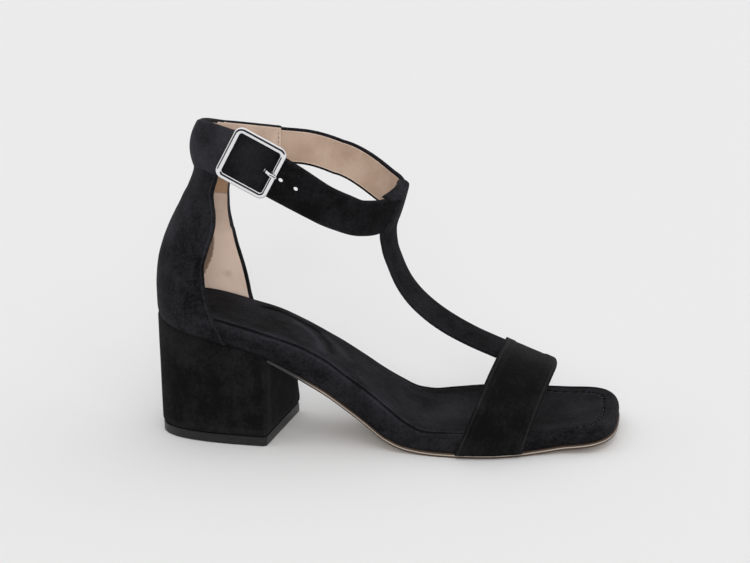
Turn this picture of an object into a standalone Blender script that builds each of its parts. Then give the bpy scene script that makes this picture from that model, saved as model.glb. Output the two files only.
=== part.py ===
# Ankle strap sandal for a right foot, with block heel, T strap and side buckle.
# Lengths are in millimetres until the meshes are made. A station runs from the
# back of the heel to the toe, y is minus on the lateral side, z is height above
# the floor.
import math

import bmesh
import bpy
import numpy as np

MM = 0.001
LENGTH = 244.0
GAP = 0.3

# Sole: where the rounded heel and toe ends start, and how square they are
HEEL_CENTRE = 30.0
HEEL_BACK = 3.6
HEEL_SQUARE = 2.15
TOE_CENTRE = 220.0
TOE_SQUARE = 2.7
TOE_SKEW = 0.05
OUTSOLE_THICK = 2.2
EDGE_ROUND = 3.6

# Heel block and its lift
BLOCK_SQUARE = 2.9
BREAST_CORNER = 2.4
LIFT_HIGH = 5.2
LIFT_INSET = 0.4

# Upper walls
COUNTER_WALL = 2.2
BAND_WALL = 2.4
STRAP_WALL = 2.2
EDGE_BULGE = 0.45

# Ankle strap in plan: a round back, two straight sides and a round front
BAND_BACK = 26.3
BAND_BACK_CENTRE = 57.0
BAND_FRONT_CENTRE = 95.0
BAND_FRONT = 129.6
BAND_HALF = 30.0
BAND_SQUARE = 2.15
BAND_SKEW = 0.3
BAND_TURNS = 6.0

# Loop of the T strap round the ankle strap
LOOP_HALF_TURN = 0.19
LOOP_GROW = 2.1

# Buckle
BUCKLE_CENTRE = (60.5, 151.6)
BUCKLE_SLOPE = -29.0
BUCKLE_SIZE = 29.4
BUCKLE_CORNER = 4.5
BAR_WIDE = 3.2
BAR_THICK = 2.2
PRONG_THICK = 1.7
PRONG_START = 7.6
PRONG_END = 15.2
HOLE_ROUND = 2.5
HOLE_TURNS = (1.72, 1.53, 1.33)

# Colours and surface values
SUEDE = (0.022, 0.021, 0.024)
SUEDE_BED = (0.026, 0.025, 0.028)
TAN_LEATHER = (0.52, 0.40, 0.29)
BLACK_PLASTIC = (0.012, 0.012, 0.013)
NICKEL = (0.78, 0.78, 0.80)


def table(names, rows):
    values = np.array(rows, float)
    return {name: values[:, i] for i, name in enumerate(names.split())}


SOLE = table(
    "station lateral medial top_lateral top_medial sag bottom", [
        (0, -28.4, 27.0, 74.4, 73.8, 2.0, 66.4),
        (16, -28.4, 27.0, 71.6, 70.2, 2.0, 61.6),
        (30, -28.6, 27.0, 68.8, 67.2, 2.0, 57.7),
        (46, -30.4, 24.4, 65.6, 64.0, 1.8, 53.2),
        (62, -31.5, 20.8, 61.2, 60.6, 1.6, 47.7),
        (78, -31.5, 17.4, 55.8, 54.6, 1.4, 39.6),
        (93, -32.0, 16.0, 48.6, 46.6, 1.2, 31.0),
        (105, -33.4, 16.9, 40.0, 38.4, 1.0, 22.8),
        (115, -35.2, 19.2, 33.3, 30.2, 1.0, 15.6),
        (126, -37.8, 22.6, 25.1, 21.8, 1.0, 7.4),
        (136, -40.0, 26.2, 17.6, 15.6, 0.9, 3.0),
        (146, -41.9, 29.8, 13.4, 13.6, 1.0, 2.5),
        (154, -43.2, 32.4, 12.8, 13.7, 1.3, 2.5),
        (170, -44.6, 36.2, 13.0, 14.0, 1.5, 2.5),
        (182, -43.8, 37.2, 12.8, 14.1, 1.5, 2.5),
        (192, -41.3, 36.7, 12.6, 14.2, 1.5, 2.5),
        (206, -37.4, 34.6, 12.7, 14.6, 1.4, 3.4),
        (220, -34.2, 32.0, 13.3, 15.4, 1.3, 4.8),
        (244, -34.2, 32.0, 14.8, 15.8, 0.8, 7.1),
    ])

# Heel block corners at the floor and under the seat
HEEL = table(
    "level lateral_station lateral medial_station medial tip_station tip", [
        (0.0, 63.0, -35.2, 70.8, 23.2, 2.2, 1.0),
        (1.0, 63.6, -33.4, 68.6, 20.9, 2.0, 0.0),
    ])

COUNTER = table(
    "height back depth half middle front_lateral front_medial", [
        (52, 4.8, 25.5, 28.1, -0.8, 44.2, 50.0),
        (62, 4.6, 25.7, 28.1, -0.8, 39.6, 45.6),
        (66, 3.9, 26.4, 28.1, -0.8, 37.6, 44.6),
        (70, 3.4, 26.9, 28.1, -0.8, 35.8, 44.0),
        (80, 3.45, 27.25, 27.9, -0.8, 33.3, 42.0),
        (86, 3.8, 27.9, 27.6, -0.7, 32.5, 40.4),
        (94, 5.0, 28.7, 27.1, -0.6, 32.2, 38.3),
        (103, 7.7, 29.3, 26.6, -0.5, 34.6, 36.6),
        (113, 12.1, 29.5, 26.2, -0.3, 38.2, 35.5),
        (123, 17.5, 29.9, 26.2, -0.2, 40.2, 36.0),
        (132, 22.4, 30.1, 26.6, 0.0, 40.2, 37.8),
        (144, 26.5, 30.2, 27.3, 0.0, 41.6, 41.0),
        (170, 27.0, 30.0, 27.3, 0.0, 42.0, 42.0),
    ])

# Turn 0 is the front, 1 to 2 the lateral side, 3 the back, 4 to 5 the medial side
BAND = table(
    "turn middle wide lean bow", [
        (0.0, 121.5, 18.6, -24.0, 0.3),
        (0.25, 118.4, 18.3, -14.0, 0.3),
        (0.5, 120.1, 18.1, -6.0, 0.3),
        (0.75, 125.1, 19.0, -2.0, 0.3),
        (1.0, 130.2, 19.8, 0.0, 0.3),
        (1.5, 141.5, 22.0, 0.0, 0.3),
        (2.0, 152.0, 22.6, 0.0, 0.3),
        (2.5, 157.2, 22.2, 6.0, 1.9),
        (3.0, 155.2, 22.0, 7.5, 2.8),
        (3.5, 150.2, 21.0, 6.0, 1.9),
        (4.0, 147.0, 19.4, 0.0, 0.3),
        (4.5, 145.8, 18.4, 0.0, 0.3),
        (5.0, 140.4, 18.6, 0.0, 0.3),
        (5.5, 125.6, 19.6, -6.0, 0.3),
        (6.0, 121.5, 18.6, -24.0, 0.3),
    ])

# Middle line of the T strap on its outer face, from the vamp strap to the loop
T_STRAP = table(
    "run station side height twist wide", [
        (0.0, 199.0, 0.6, 39.3, 6.0, 20.0),
        (1.0, 186.5, 0.2, 45.0, 8.0, 19.6),
        (2.0, 169.2, -0.2, 52.7, 11.0, 18.4),
        (3.0, 156.0, -0.4, 60.0, 15.0, 17.2),
        (4.0, 146.3, -0.4, 67.1, 17.0, 16.4),
        (5.0, 138.3, -0.2, 75.1, 18.0, 15.6),
        (6.0, 133.0, 0.0, 83.2, 18.0, 15.0),
        (7.0, 129.6, 0.2, 91.4, 18.0, 14.6),
        (8.0, 127.0, 0.2, 100.0, 18.0, 14.8),
        (9.0, 126.3, 0.0, 107.5, 18.0, 16.0),
        (10.0, 127.8, 0.0, 114.5, 18.0, 17.2),
        (11.0, 129.6, 0.0, 120.5, 18.0, 17.6),
    ])

# Vamp strap: arc 0 is the lateral foot, 1 the crest, 2 the medial foot
VAMP = table(
    "arc back front", [
        (0.00, 163.8, 198.0),
        (0.25, 169.4, 201.6),
        (0.45, 175.2, 206.5),
        (0.60, 178.0, 208.7),
        (0.80, 181.5, 210.3),
        (0.90, 183.3, 211.0),
        (1.00, 185.4, 211.4),
        (1.40, 182.0, 206.6),
        (1.75, 175.0, 203.0),
        (2.00, 171.0, 202.0),
    ])
VAMP_SPRING = 14.0
VAMP_CREST_AT = 198.0
VAMP_CREST = 41.2
VAMP_SLOPE = -0.45
VAMP_RIDGE = 4.0
VAMP_ROUND = 2.25


def smooth(columns, key, name, at):
    # Cubic curve through the rows of a table that never overshoots them
    xs = columns[key]
    ys = columns[name]
    at = np.clip(np.asarray(at, float), xs[0], xs[-1])
    step = np.diff(xs)
    rise = np.diff(ys) / step
    slope = np.zeros_like(ys)
    slope[0] = rise[0]
    slope[-1] = rise[-1]
    turning = rise[:-1] * rise[1:] <= 0.0
    safe = np.where(turning, 1.0, rise[:-1] + rise[1:])
    slope[1:-1] = np.where(turning, 0.0, 2.0 * rise[:-1] * rise[1:] / safe)
    i = np.clip(np.searchsorted(xs, at, side="right") - 1, 0, len(step) - 1)
    t = (at - xs[i]) / step[i]
    h = step[i]
    low = (1.0 + 2.0 * t) * (1.0 - t) ** 2 * ys[i] + t * (1.0 - t) ** 2 * h * slope[i]
    high = t * t * (3.0 - 2.0 * t) * ys[i + 1] + t * t * (t - 1.0) * h * slope[i + 1]
    return low + high


def sole(name, station):
    return smooth(SOLE, "station", name, station)


def signed_power(value, power):
    return np.sign(value) * np.abs(value) ** power


def unit(vectors):
    length = np.linalg.norm(vectors, axis=-1, keepdims=True)
    return vectors / np.maximum(length, 1e-9)


def make_material(name, colour, roughness, metallic=0.0):
    material = bpy.data.materials.new(name)
    material.use_nodes = True
    shader = material.node_tree.nodes["Principled BSDF"]
    shader.inputs["Base Color"].default_value = (*colour, 1.0)
    shader.inputs["Roughness"].default_value = roughness
    shader.inputs["Metallic"].default_value = metallic
    return material


def make_object(name, points, faces, material):
    # Closed mesh in metres, doubles merged, faces turned outward
    mesh = bpy.data.meshes.new(name)
    mesh.from_pydata([tuple(p * MM) for p in points], [], faces)
    work = bmesh.new()
    work.from_mesh(mesh)
    bmesh.ops.remove_doubles(work, verts=work.verts, dist=1e-6)
    bmesh.ops.dissolve_degenerate(work, edges=work.edges, dist=1e-6)
    bmesh.ops.recalc_face_normals(work, faces=work.faces)
    work.to_mesh(mesh)
    work.free()
    for face in mesh.polygons:
        face.use_smooth = True
    mesh.set_sharp_from_angle(angle=math.radians(35.0))
    mesh.materials.append(material)
    result = bpy.data.objects.new(name, mesh)
    bpy.context.scene.collection.objects.link(result)
    return result


def ring_faces(rings, size, closed_ends=False):
    faces = []
    for r in range(rings - 1):
        for i in range(size):
            j = (i + 1) % size
            faces.append((r * size + i, r * size + j, (r + 1) * size + j, (r + 1) * size + i))
    if closed_ends:
        faces.append(tuple(range(size)))
        faces.append(tuple((rings - 1) * size + i for i in range(size)))
    return faces


# Sole outline in plan with the middle line that its rings shrink to
def sole_outline(start=None):
    stations = np.linspace(HEEL_CENTRE, TOE_CENTRE, 24)
    if start is not None:
        stations = stations[stations > max(start) + 2.0]
    lateral = np.column_stack((stations, sole("lateral", stations)))
    medial = np.column_stack((stations, sole("medial", stations)))
    middle = np.column_stack((stations, 0.5 * (lateral[:, 1] + medial[:, 1])))
    turn = np.radians(np.linspace(-90.0, 90.0, 17))[1:-1]
    half = 0.5 * (medial[-1, 1] - lateral[-1, 1])
    power = 2.0 / TOE_SQUARE
    y = middle[-1, 1] + half * signed_power(np.sin(turn), power)
    reach = (LENGTH - TOE_CENTRE) * np.cos(turn) ** power
    toe = np.column_stack((TOE_CENTRE + reach * (1.0 + TOE_SKEW * np.sin(turn)), y))
    if start is None:
        turn = np.radians(np.linspace(90.0, -90.0, 13))[1:-1]
        half = 0.5 * (medial[0, 1] - lateral[0, 1])
        power = 2.0 / HEEL_SQUARE
        y = middle[0, 1] + half * signed_power(np.sin(turn), power)
        heel = np.column_stack((HEEL_CENTRE - (HEEL_CENTRE - HEEL_BACK) * np.cos(turn) ** power, y))
    else:
        share = np.linspace(1.0, 0.0, 9)[:, None]
        corners = [(start[0], sole("lateral", start[0])), (start[1], sole("medial", start[1]))]
        heel = np.array(corners[0]) * (1.0 - share) + np.array(corners[1]) * share
    edge = np.vstack((lateral, toe, medial[::-1], heel))
    spine = np.vstack((middle, np.repeat(middle[-1:], len(toe), 0),
                       middle[::-1], np.repeat(middle[:1], len(heel), 0)))
    return edge, spine


def inset_line(edge, distance):
    along = np.roll(edge, -1, 0) - np.roll(edge, 1, 0)
    outward = unit(np.column_stack((along[:, 1], -along[:, 0])))
    return edge - outward * distance


def bed_top(points):
    # Top of the footbed, tilted from side to side and sagging in the middle
    station = np.maximum(points[:, 0], 0.0)
    lateral = sole("lateral", station)
    medial = sole("medial", station)
    across = np.clip((points[:, 1] - lateral) / (medial - lateral), 0.0, 1.0)
    low = sole("top_lateral", station)
    high = sole("top_medial", station)
    return low + (high - low) * across - sole("sag", station) * 4.0 * across * (1.0 - across)


def stack(edge, height):
    return np.column_stack((edge, height))


def make_footbed(material):
    edge, spine = sole_outline()
    base = inset_line(edge, 0.9)
    rings = []
    for share in (0.0, 0.55, 0.9):
        flat = spine + (base - spine) * share
        rings.append(stack(flat, sole("bottom", flat[:, 0])))
    rim = bed_top(edge)
    floor = sole("bottom", edge[:, 0])
    rings.append(stack(base, sole("bottom", base[:, 0])))
    for inset, share in ((0.45, 0.12), (0.25, 0.45)):
        line = inset_line(edge, inset)
        rings.append(stack(line, floor + (rim - floor) * share))
    for angle in (0.0, 30.0, 60.0, 90.0):
        a = math.radians(angle)
        line = inset_line(edge, 0.35 + EDGE_ROUND * (1.0 - math.cos(a)))
        rings.append(stack(line, rim - EDGE_ROUND * (1.0 - math.sin(a)) - 0.2))
    brim = inset_line(edge, 0.35 + EDGE_ROUND)
    for share in (0.86, 0.62, 0.32, 0.0):
        flat = spine + (brim - spine) * share
        rings.append(stack(flat, bed_top(flat)))
    return make_object("footbed", np.vstack(rings), ring_faces(len(rings), len(edge)), material)


def heel_corner(name, level):
    return np.array([float(smooth(HEEL, "level", column, level)) for column in (name + "_station", name)])


def make_outsole(material):
    start = [heel_corner(name, 1.0)[0] + 2.0 * GAP for name in ("lateral", "medial")]
    edge, spine = sole_outline(start)
    thick = OUTSOLE_THICK * np.clip((edge[:, 0] - 40.0) / 45.0, 0.4, 1.0)
    rings = []
    for share in (0.0, 0.6, 0.92):
        flat = spine + (edge - spine) * share
        local = OUTSOLE_THICK * np.clip((flat[:, 0] - 40.0) / 45.0, 0.4, 1.0)
        rings.append(stack(flat, sole("bottom", flat[:, 0]) - GAP - local))
    top = sole("bottom", edge[:, 0]) - GAP
    rings.append(stack(inset_line(edge, 0.5), top - thick))
    rings.append(stack(edge, top - 0.75 * thick))
    rings.append(stack(edge, top - 0.2 * thick))
    rings.append(stack(inset_line(edge, 0.35), top))
    for share in (0.92, 0.6, 0.0):
        flat = spine + (edge - spine) * share
        rings.append(stack(flat, sole("bottom", flat[:, 0]) - GAP))
    return make_object("outsole", np.vstack(rings), ring_faces(len(rings), len(edge)), material)


def heel_plan(inset, level):
    # Half superellipse from the medial breast corner round the back to the lateral one
    lateral = heel_corner("lateral", level)
    medial = heel_corner("medial", level)
    middle = 0.5 * (lateral + medial)
    half = 0.5 * np.linalg.norm(medial - lateral) - inset
    side = unit(medial - lateral)
    back = heel_corner("tip", level) - middle
    reach = (np.linalg.norm(back) - inset) * unit(back)
    turn = np.radians(np.linspace(90.0, -90.0, 25))
    power = 2.0 / BLOCK_SQUARE
    across = signed_power(np.sin(turn), power)[:, None]
    behind = (np.cos(turn) ** power)[:, None]
    curve = middle + half * across * side + behind * reach
    forward = np.array((side[1], -side[0])) * inset
    curve[0] -= forward
    curve[-1] -= forward
    rounding = 0.3 * BREAST_CORNER
    round_medial = [curve[0] - side * rounding + unit(back) * rounding]
    round_lateral = [curve[-1] + side * rounding + unit(back) * rounding]
    curve[0] += unit(back) * BREAST_CORNER
    curve[-1] += unit(back) * BREAST_CORNER
    breast = [middle - forward + side * half * share for share in (-0.95, -0.5, 0.0, 0.5, 0.95)]
    return np.vstack((curve, round_lateral, breast, round_medial))


def make_heel(suede, plastic):
    lift = heel_plan(LIFT_INSET, 0.0)
    lower = heel_plan(LIFT_INSET + 0.9, 0.0)
    centre = lift.mean(axis=0)
    flat = np.repeat(centre[None], len(lift), 0)
    rings = [stack(flat, np.zeros(len(lift)))]
    for line, height in ((lower, 0.0), (lift, 0.6), (lift, LIFT_HIGH - 0.3), (lower, LIFT_HIGH)):
        rings.append(stack(line, np.full(len(line), height)))
    rings.append(stack(flat, np.full(len(lift), LIFT_HIGH)))
    top_lift = make_object("top_lift", np.vstack(rings), ring_faces(len(rings), len(lift)), plastic)

    floor = LIFT_HIGH + GAP
    rings = [stack(flat, np.full(len(lift), floor))]
    for inset, height in ((1.4, 0.0), (0.6, 0.5), (0.1, 1.6), (0.0, 3.2)):
        rings.append(stack(heel_plan(inset, 0.0), np.full(len(lift), floor + height)))
    roof = sole("bottom", heel_plan(0.0, 1.0)[:, 0]) - GAP
    low = floor + 3.2
    for share in (0.25, 0.5, 0.75, 1.0):
        rings.append(stack(heel_plan(0.0, share), low + (roof - 1.4 - low) * share))
    rings.append(stack(heel_plan(0.4, 1.0), roof - 0.5))
    for inset in (1.3, 3.0):
        brim = heel_plan(inset, 1.0)
        rings.append(stack(brim, sole("bottom", brim[:, 0]) - GAP))
    for share in (0.66, 0.33, 0.0):
        flat = centre + (brim - centre) * share
        rings.append(stack(flat, sole("bottom", flat[:, 0]) - GAP))
    block = make_object("heel_block", np.vstack(rings), ring_faces(len(rings), len(lift)), suede)
    return block, top_lift


def grid_normals(grid, loop=False):
    if loop:
        along = np.roll(grid, -1, 0) - np.roll(grid, 1, 0)
    else:
        along = np.gradient(grid, axis=0)
    across = np.gradient(grid, axis=1)
    return unit(np.cross(along, across))


def wall(name, outer, inner, loop, material):
    # Closed wall between two grids, its free edges slightly bulged
    rows, columns = outer.shape[:2]

    def at(layer, i, j):
        return layer * rows * columns + (i % rows) * columns + j

    faces = []
    last = rows if loop else rows - 1
    for i in range(last):
        for j in range(columns - 1):
            for layer in (0, 1):
                faces.append((at(layer, i, j), at(layer, i + 1, j),
                              at(layer, i + 1, j + 1), at(layer, i, j + 1)))
    points = np.vstack((outer.reshape(-1, 3), inner.reshape(-1, 3)))
    borders = []
    if loop:
        borders.append([(i, 0, 1) for i in range(rows)])
        borders.append([(i, columns - 1, columns - 2) for i in range(rows)])
    else:
        border = [(i, 0) for i in range(rows)]
        border += [(rows - 1, j) for j in range(1, columns)]
        border += [(i, columns - 1) for i in range(rows - 2, -1, -1)]
        border += [(0, j) for j in range(columns - 2, 0, -1)]
        borders.append([(i, j, None) for i, j in border])
    for line in borders:
        first = len(points)
        bulge = []
        for i, j, neighbour in line:
            a = outer[i, j]
            b = inner[i, j]
            if neighbour is None:
                pi = i + (1 if i == 0 else -1 if i == rows - 1 else 0)
                pj = j + (1 if j == 0 else -1 if j == columns - 1 else 0)
            else:
                pi, pj = i, neighbour
            away = unit(a - outer[pi, pj])
            bulge.append(0.5 * (a + b) + away * EDGE_BULGE)
        points = np.vstack((points, bulge))
        for k in range(len(line)):
            n = (k + 1) % len(line)
            i, j = line[k][:2]
            p, q = line[n][:2]
            faces.append((at(0, i, j), at(0, p, q), first + n, first + k))
            faces.append((first + k, first + n, at(1, p, q), at(1, i, j)))
    return make_object(name, points, faces, material)


def counter_point(height, turn):
    # Point of the counter's inner face; turns past a quarter follow the sole's side
    back = smooth(COUNTER, "height", "back", height)
    depth = smooth(COUNTER, "height", "depth", height)
    half = smooth(COUNTER, "height", "half", height)
    middle = smooth(COUNTER, "height", "middle", height)
    power = 2.0 / HEEL_SQUARE
    centre = back + depth
    inside = min(abs(turn), 90.0)
    station = centre - depth * math.cos(math.radians(inside)) ** power
    y = half * math.sin(math.radians(inside)) ** power
    if abs(turn) > 90.0:
        station = centre + (abs(turn) - 90.0) / 3.0
        name = "lateral" if turn < 0.0 else "medial"
        drift = sole(name, station) - sole(name, centre)
        return np.array((station, middle + math.copysign(y, turn) + drift, height))
    return np.array((station, middle + math.copysign(y, turn), height))


def counter_turn(height, name):
    front = smooth(COUNTER, "height", name, height)
    back = smooth(COUNTER, "height", "back", height)
    depth = smooth(COUNTER, "height", "depth", height)
    ahead = back + depth - front
    if ahead <= 0.0:
        return 90.0 - 3.0 * ahead
    return math.degrees(math.acos((ahead / depth) ** (0.5 * HEEL_SQUARE)))


def make_counter(material):
    columns = 14
    rows = 29
    grid = np.zeros((rows, columns, 3))
    for i, share in enumerate(np.linspace(-1.0, 1.0, rows)):
        name = "front_lateral" if share < 0.0 else "front_medial"
        low = 56.0
        for _ in range(4):
            low = sole("bottom", counter_point(low, share * counter_turn(low, name))[0])
        low = low + EDGE_BULGE + 0.3
        high = 152.0 if share < 0.0 else 152.0 - 6.0 * share
        for j, rise in enumerate(np.linspace(0.0, 1.0, columns)):
            height = low + (high - low) * rise
            grid[i, j] = counter_point(height, share * counter_turn(height, name))
    normal = -grid_normals(grid)
    return wall("counter", grid + normal * COUNTER_WALL, grid, False, material)


def band_plan(turn):
    # Plan of the ankle strap's outer face by turn round the leg
    power = 2.0 / BAND_SQUARE
    turn = turn % BAND_TURNS
    side = -1.0 if turn <= 3.0 else 1.0
    t = turn if turn <= 3.0 else BAND_TURNS - turn
    if t <= 1.0:
        a = math.radians(90.0 * t)
        y = side * BAND_HALF * math.sin(a)
        station = BAND_FRONT_CENTRE + (BAND_FRONT - BAND_FRONT_CENTRE) * math.cos(a)
        return station + BAND_SKEW * y * math.cos(a), y
    if t <= 2.0:
        return BAND_FRONT_CENTRE + (BAND_BACK_CENTRE - BAND_FRONT_CENTRE) * (t - 1.0), side * BAND_HALF
    a = math.radians(90.0 * (3.0 - t))
    station = BAND_BACK_CENTRE - (BAND_BACK_CENTRE - BAND_BACK) * math.cos(a) ** power
    return station, side * BAND_HALF * math.sin(a) ** power


def band_line(turn):
    station, y = band_plan(turn)
    return np.array((station, y, smooth(BAND, "turn", "middle", turn % BAND_TURNS)))


def band_grids(turns, grow, columns):
    outer = np.zeros((len(turns), columns, 3))
    inner = np.zeros((len(turns), columns, 3))
    for i, turn in enumerate(turns):
        centre = band_line(turn)
        along = unit(band_line(turn + 0.02) - band_line(turn - 0.02))
        up = unit(np.array((0.0, 0.0, 1.0)) - along * along[2])
        out = unit(np.cross(up, along))
        lean = math.radians(float(smooth(BAND, "turn", "lean", turn % BAND_TURNS)))
        up = up * math.cos(lean) - out * math.sin(lean)
        out = unit(np.cross(up, along))
        half = 0.5 * float(smooth(BAND, "turn", "wide", turn % BAND_TURNS)) + grow
        bow = float(smooth(BAND, "turn", "bow", turn % BAND_TURNS))
        for j, share in enumerate(np.linspace(-1.0, 1.0, columns)):
            place = centre + up * half * share
            swell = bow * (1.0 - share * share)
            outer[i, j] = place + out * (grow + swell)
            inner[i, j] = place - out * (BAND_WALL + grow - 0.9 * swell)
    return outer, inner


def make_band(material):
    outer, inner = band_grids(np.linspace(0.0, BAND_TURNS, 85)[:-1], 0.0, 5)
    return wall("band", outer, inner, True, material)


def make_loop(material):
    # Folded end of the T strap round the ankle strap, with round folds above and below
    turns = np.linspace(-LOOP_HALF_TURN, LOOP_HALF_TURN, 9)
    outer, inner = band_grids(turns, 0.0, 3)
    caps = np.radians(np.linspace(0.0, 180.0, 7))
    rings = []
    for i in range(len(turns)):
        grow = LOOP_GROW - (0.5 if i in (0, len(turns) - 1) else 0.0)
        low, middle, high = 0.5 * (outer[i] + inner[i])
        up = unit(high - low)
        out = unit(outer[i, 0] - inner[i, 0])
        radius = 0.5 * BAND_WALL + grow
        fold = 0.5 * np.linalg.norm(high - low) + grow - radius
        ring = [middle + up * (fold + radius * math.sin(a)) + out * radius * math.cos(a) for a in caps]
        ring += [middle - up * (fold + radius * math.sin(a)) - out * radius * math.cos(a) for a in caps]
        rings.append(ring)
    points = np.array(rings).reshape(-1, 3)
    return make_object("loop", points, ring_faces(len(turns), 2 * len(caps), True), material)


def make_t_strap(material):
    runs = np.linspace(0.0, 11.0, 34)
    line = np.column_stack([smooth(T_STRAP, "run", name, runs)
                            for name in ("station", "side", "height")])
    along = unit(np.gradient(line, axis=0))
    twist = np.radians(smooth(T_STRAP, "run", "twist", runs))
    wide = smooth(T_STRAP, "run", "wide", runs)
    shares = np.linspace(-1.0, 1.0, 7)
    outer = np.zeros((len(runs), len(shares), 3))
    inner = np.zeros_like(outer)
    for i in range(len(runs)):
        flat = unit(np.cross(along[i], np.array((0.0, 1.0, 0.0))))
        if flat[2] + flat[0] < 0.0:
            flat = -flat
        across = np.array((0.0, 1.0, 0.0)) * math.cos(twist[i]) + flat * math.sin(twist[i])
        out = unit(flat * math.cos(twist[i]) - np.array((0.0, 1.0, 0.0)) * math.sin(twist[i]))
        for j, share in enumerate(shares):
            bow = 1.0 * (1.0 - share * share) - 0.6
            outer[i, j] = line[i] + across * 0.5 * wide[i] * share + out * bow
            inner[i, j] = outer[i, j] - out * STRAP_WALL
    return wall("t_strap", outer, inner, False, material)


def vamp_point(arc, station):
    # Point on the outside of the vamp strap, following the last over the ball
    reach = GAP + STRAP_WALL
    lateral = float(sole("lateral", station)) - reach
    medial = float(sole("medial", station)) + reach
    crest = VAMP_CREST + VAMP_SLOPE * (station - VAMP_CREST_AT)
    foot = float(sole("bottom", station))
    if arc < 0.25:
        return np.array((station, lateral, foot + (VAMP_SPRING - foot) * arc / 0.25))
    if arc > 1.75:
        return np.array((station, medial, foot + (VAMP_SPRING - foot) * (2.0 - arc) / 0.25))
    a = math.radians(90.0 * (arc - 1.0) / 0.75)
    power = 2.0 / VAMP_ROUND
    side = math.sin(abs(a)) ** power
    end = lateral if a < 0.0 else medial
    y = VAMP_RIDGE + (end - VAMP_RIDGE) * side
    return np.array((station, y, VAMP_SPRING + (crest - VAMP_SPRING) * math.cos(a) ** power))


def make_vamp(material):
    arcs = np.concatenate((np.linspace(0.0, 0.25, 4), np.linspace(0.25, 1.75, 29)[1:-1],
                           np.linspace(1.75, 2.0, 4)))
    columns = 6
    grid = np.zeros((len(arcs), columns, 3))
    for i, arc in enumerate(arcs):
        back = float(smooth(VAMP, "arc", "back", arc))
        front = float(smooth(VAMP, "arc", "front", arc))
        for j, share in enumerate(np.linspace(0.0, 1.0, columns)):
            grid[i, j] = vamp_point(arc, back + (front - back) * share)
    normal = -grid_normals(grid)
    return wall("vamp", grid, grid - normal * STRAP_WALL, False, material)


def make_hole_pins(material):
    # Round pins along the normal of the lateral strap, one at each punched hole
    pins = []
    for turn in HOLE_TURNS:
        centre = band_line(turn)
        rings = []
        for y in (-6.0, 6.0):
            ring = []
            for k in range(12):
                a = 2.0 * math.pi * k / 12
                x = 0.5 * HOLE_ROUND * math.cos(a)
                z = 0.5 * HOLE_ROUND * math.sin(a)
                ring.append(centre + np.array((x, y, z)))
            rings.append(ring)
        points = np.array(rings).reshape(-1, 3)
        pins.append(make_object("hole_pin", points, ring_faces(2, 12, True), material))
    return pins


def combine(base, others, operation):
    # Closed solids joined to the first one, or cut from it, one after another
    for other in others:
        modifier = base.modifiers.new(other.name, "BOOLEAN")
        modifier.operation = operation
        modifier.solver = "EXACT"
        modifier.object = other
    graph = bpy.context.evaluated_depsgraph_get()
    joined = bpy.data.meshes.new_from_object(base.evaluated_get(graph))
    base.modifiers.clear()
    base.data = joined
    for other in others:
        bpy.data.objects.remove(other, do_unlink=True)
    return base


def make_upper(material):
    upper = make_counter(material)
    others = [make_band(material), make_loop(material), make_t_strap(material), make_vamp(material)]
    upper = combine(upper, others, "UNION")
    upper = combine(upper, make_hole_pins(material), "DIFFERENCE")
    upper.name = "upper"
    upper.data.name = "upper"
    return upper


def buckle_axes():
    slope = math.radians(BUCKLE_SLOPE)
    along = np.array((math.cos(slope), 0.0, math.sin(slope)))
    up = np.array((-math.sin(slope), 0.0, math.cos(slope)))
    out = np.array((0.0, -1.0, 0.0))
    centre = np.array((BUCKLE_CENTRE[0], -BAND_HALF - 0.35 - GAP, BUCKLE_CENTRE[1]))
    return centre, along, up, out


def rounded_square(half, radius, steps):
    line = []
    for quarter in range(4):
        middle = math.radians(45.0 + 90.0 * quarter)
        corner = (half - radius) * math.sqrt(2.0) * np.array((math.cos(middle), math.sin(middle)))
        for k in range(steps + 1):
            a = math.radians(90.0 * quarter + 90.0 * k / steps)
            line.append(corner + radius * np.array((math.cos(a), math.sin(a))))
    return np.array(line)


def make_frame(material):
    centre, along, up, out = buckle_axes()
    path = rounded_square(0.5 * (BUCKLE_SIZE - BAR_WIDE), BUCKLE_CORNER - 0.5 * BAR_WIDE, 5)
    tangent = unit(np.roll(path, -1, 0) - np.roll(path, 1, 0))
    outward = np.column_stack((tangent[:, 1], -tangent[:, 0]))
    section = []
    for k in range(10):
        a = 2.0 * math.pi * (k + 0.5) / 10
        section.append((0.5 * BAR_WIDE * signed_power(math.cos(a), 0.6),
                        0.5 * BAR_THICK * (1.0 + signed_power(math.sin(a), 0.6))))
    points = []
    for p, side in zip(path, outward):
        for wide, high in section:
            q = p + side * wide
            points.append(centre + along * q[0] + up * q[1] + out * high)
    size = len(section)
    faces = []
    for i in range(len(path)):
        n = (i + 1) % len(path)
        for k in range(size):
            m = (k + 1) % size
            faces.append((i * size + k, n * size + k, n * size + m, i * size + m))
    return make_object("buckle_frame", np.array(points), faces, material)


def make_prong(material):
    # Bent pin that leaves the strap and rests on the frame's front bar
    centre, along, up, out = buckle_axes()
    radius = 0.5 * PRONG_THICK
    rest = BAR_THICK + GAP
    steps = np.linspace(0.0, 1.0, 9)
    rings = []
    for t in steps:
        rise = min(1.0, t / 0.62)
        lift = rest * rise * rise * (3.0 - 2.0 * rise)
        thin = radius * (1.0 if t < 0.9 else 0.8)
        place = centre + along * (PRONG_START + (PRONG_END - PRONG_START) * t)
        ring = []
        for k in range(10):
            a = 2.0 * math.pi * k / 10
            high = lift + radius + 0.1 + thin * math.sin(a)
            ring.append(place + up * thin * math.cos(a) + out * high)
        rings.append(ring)
    points = np.array(rings).reshape(-1, 3)
    return make_object("buckle_prong", points, ring_faces(len(rings), 10, True), material)


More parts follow.
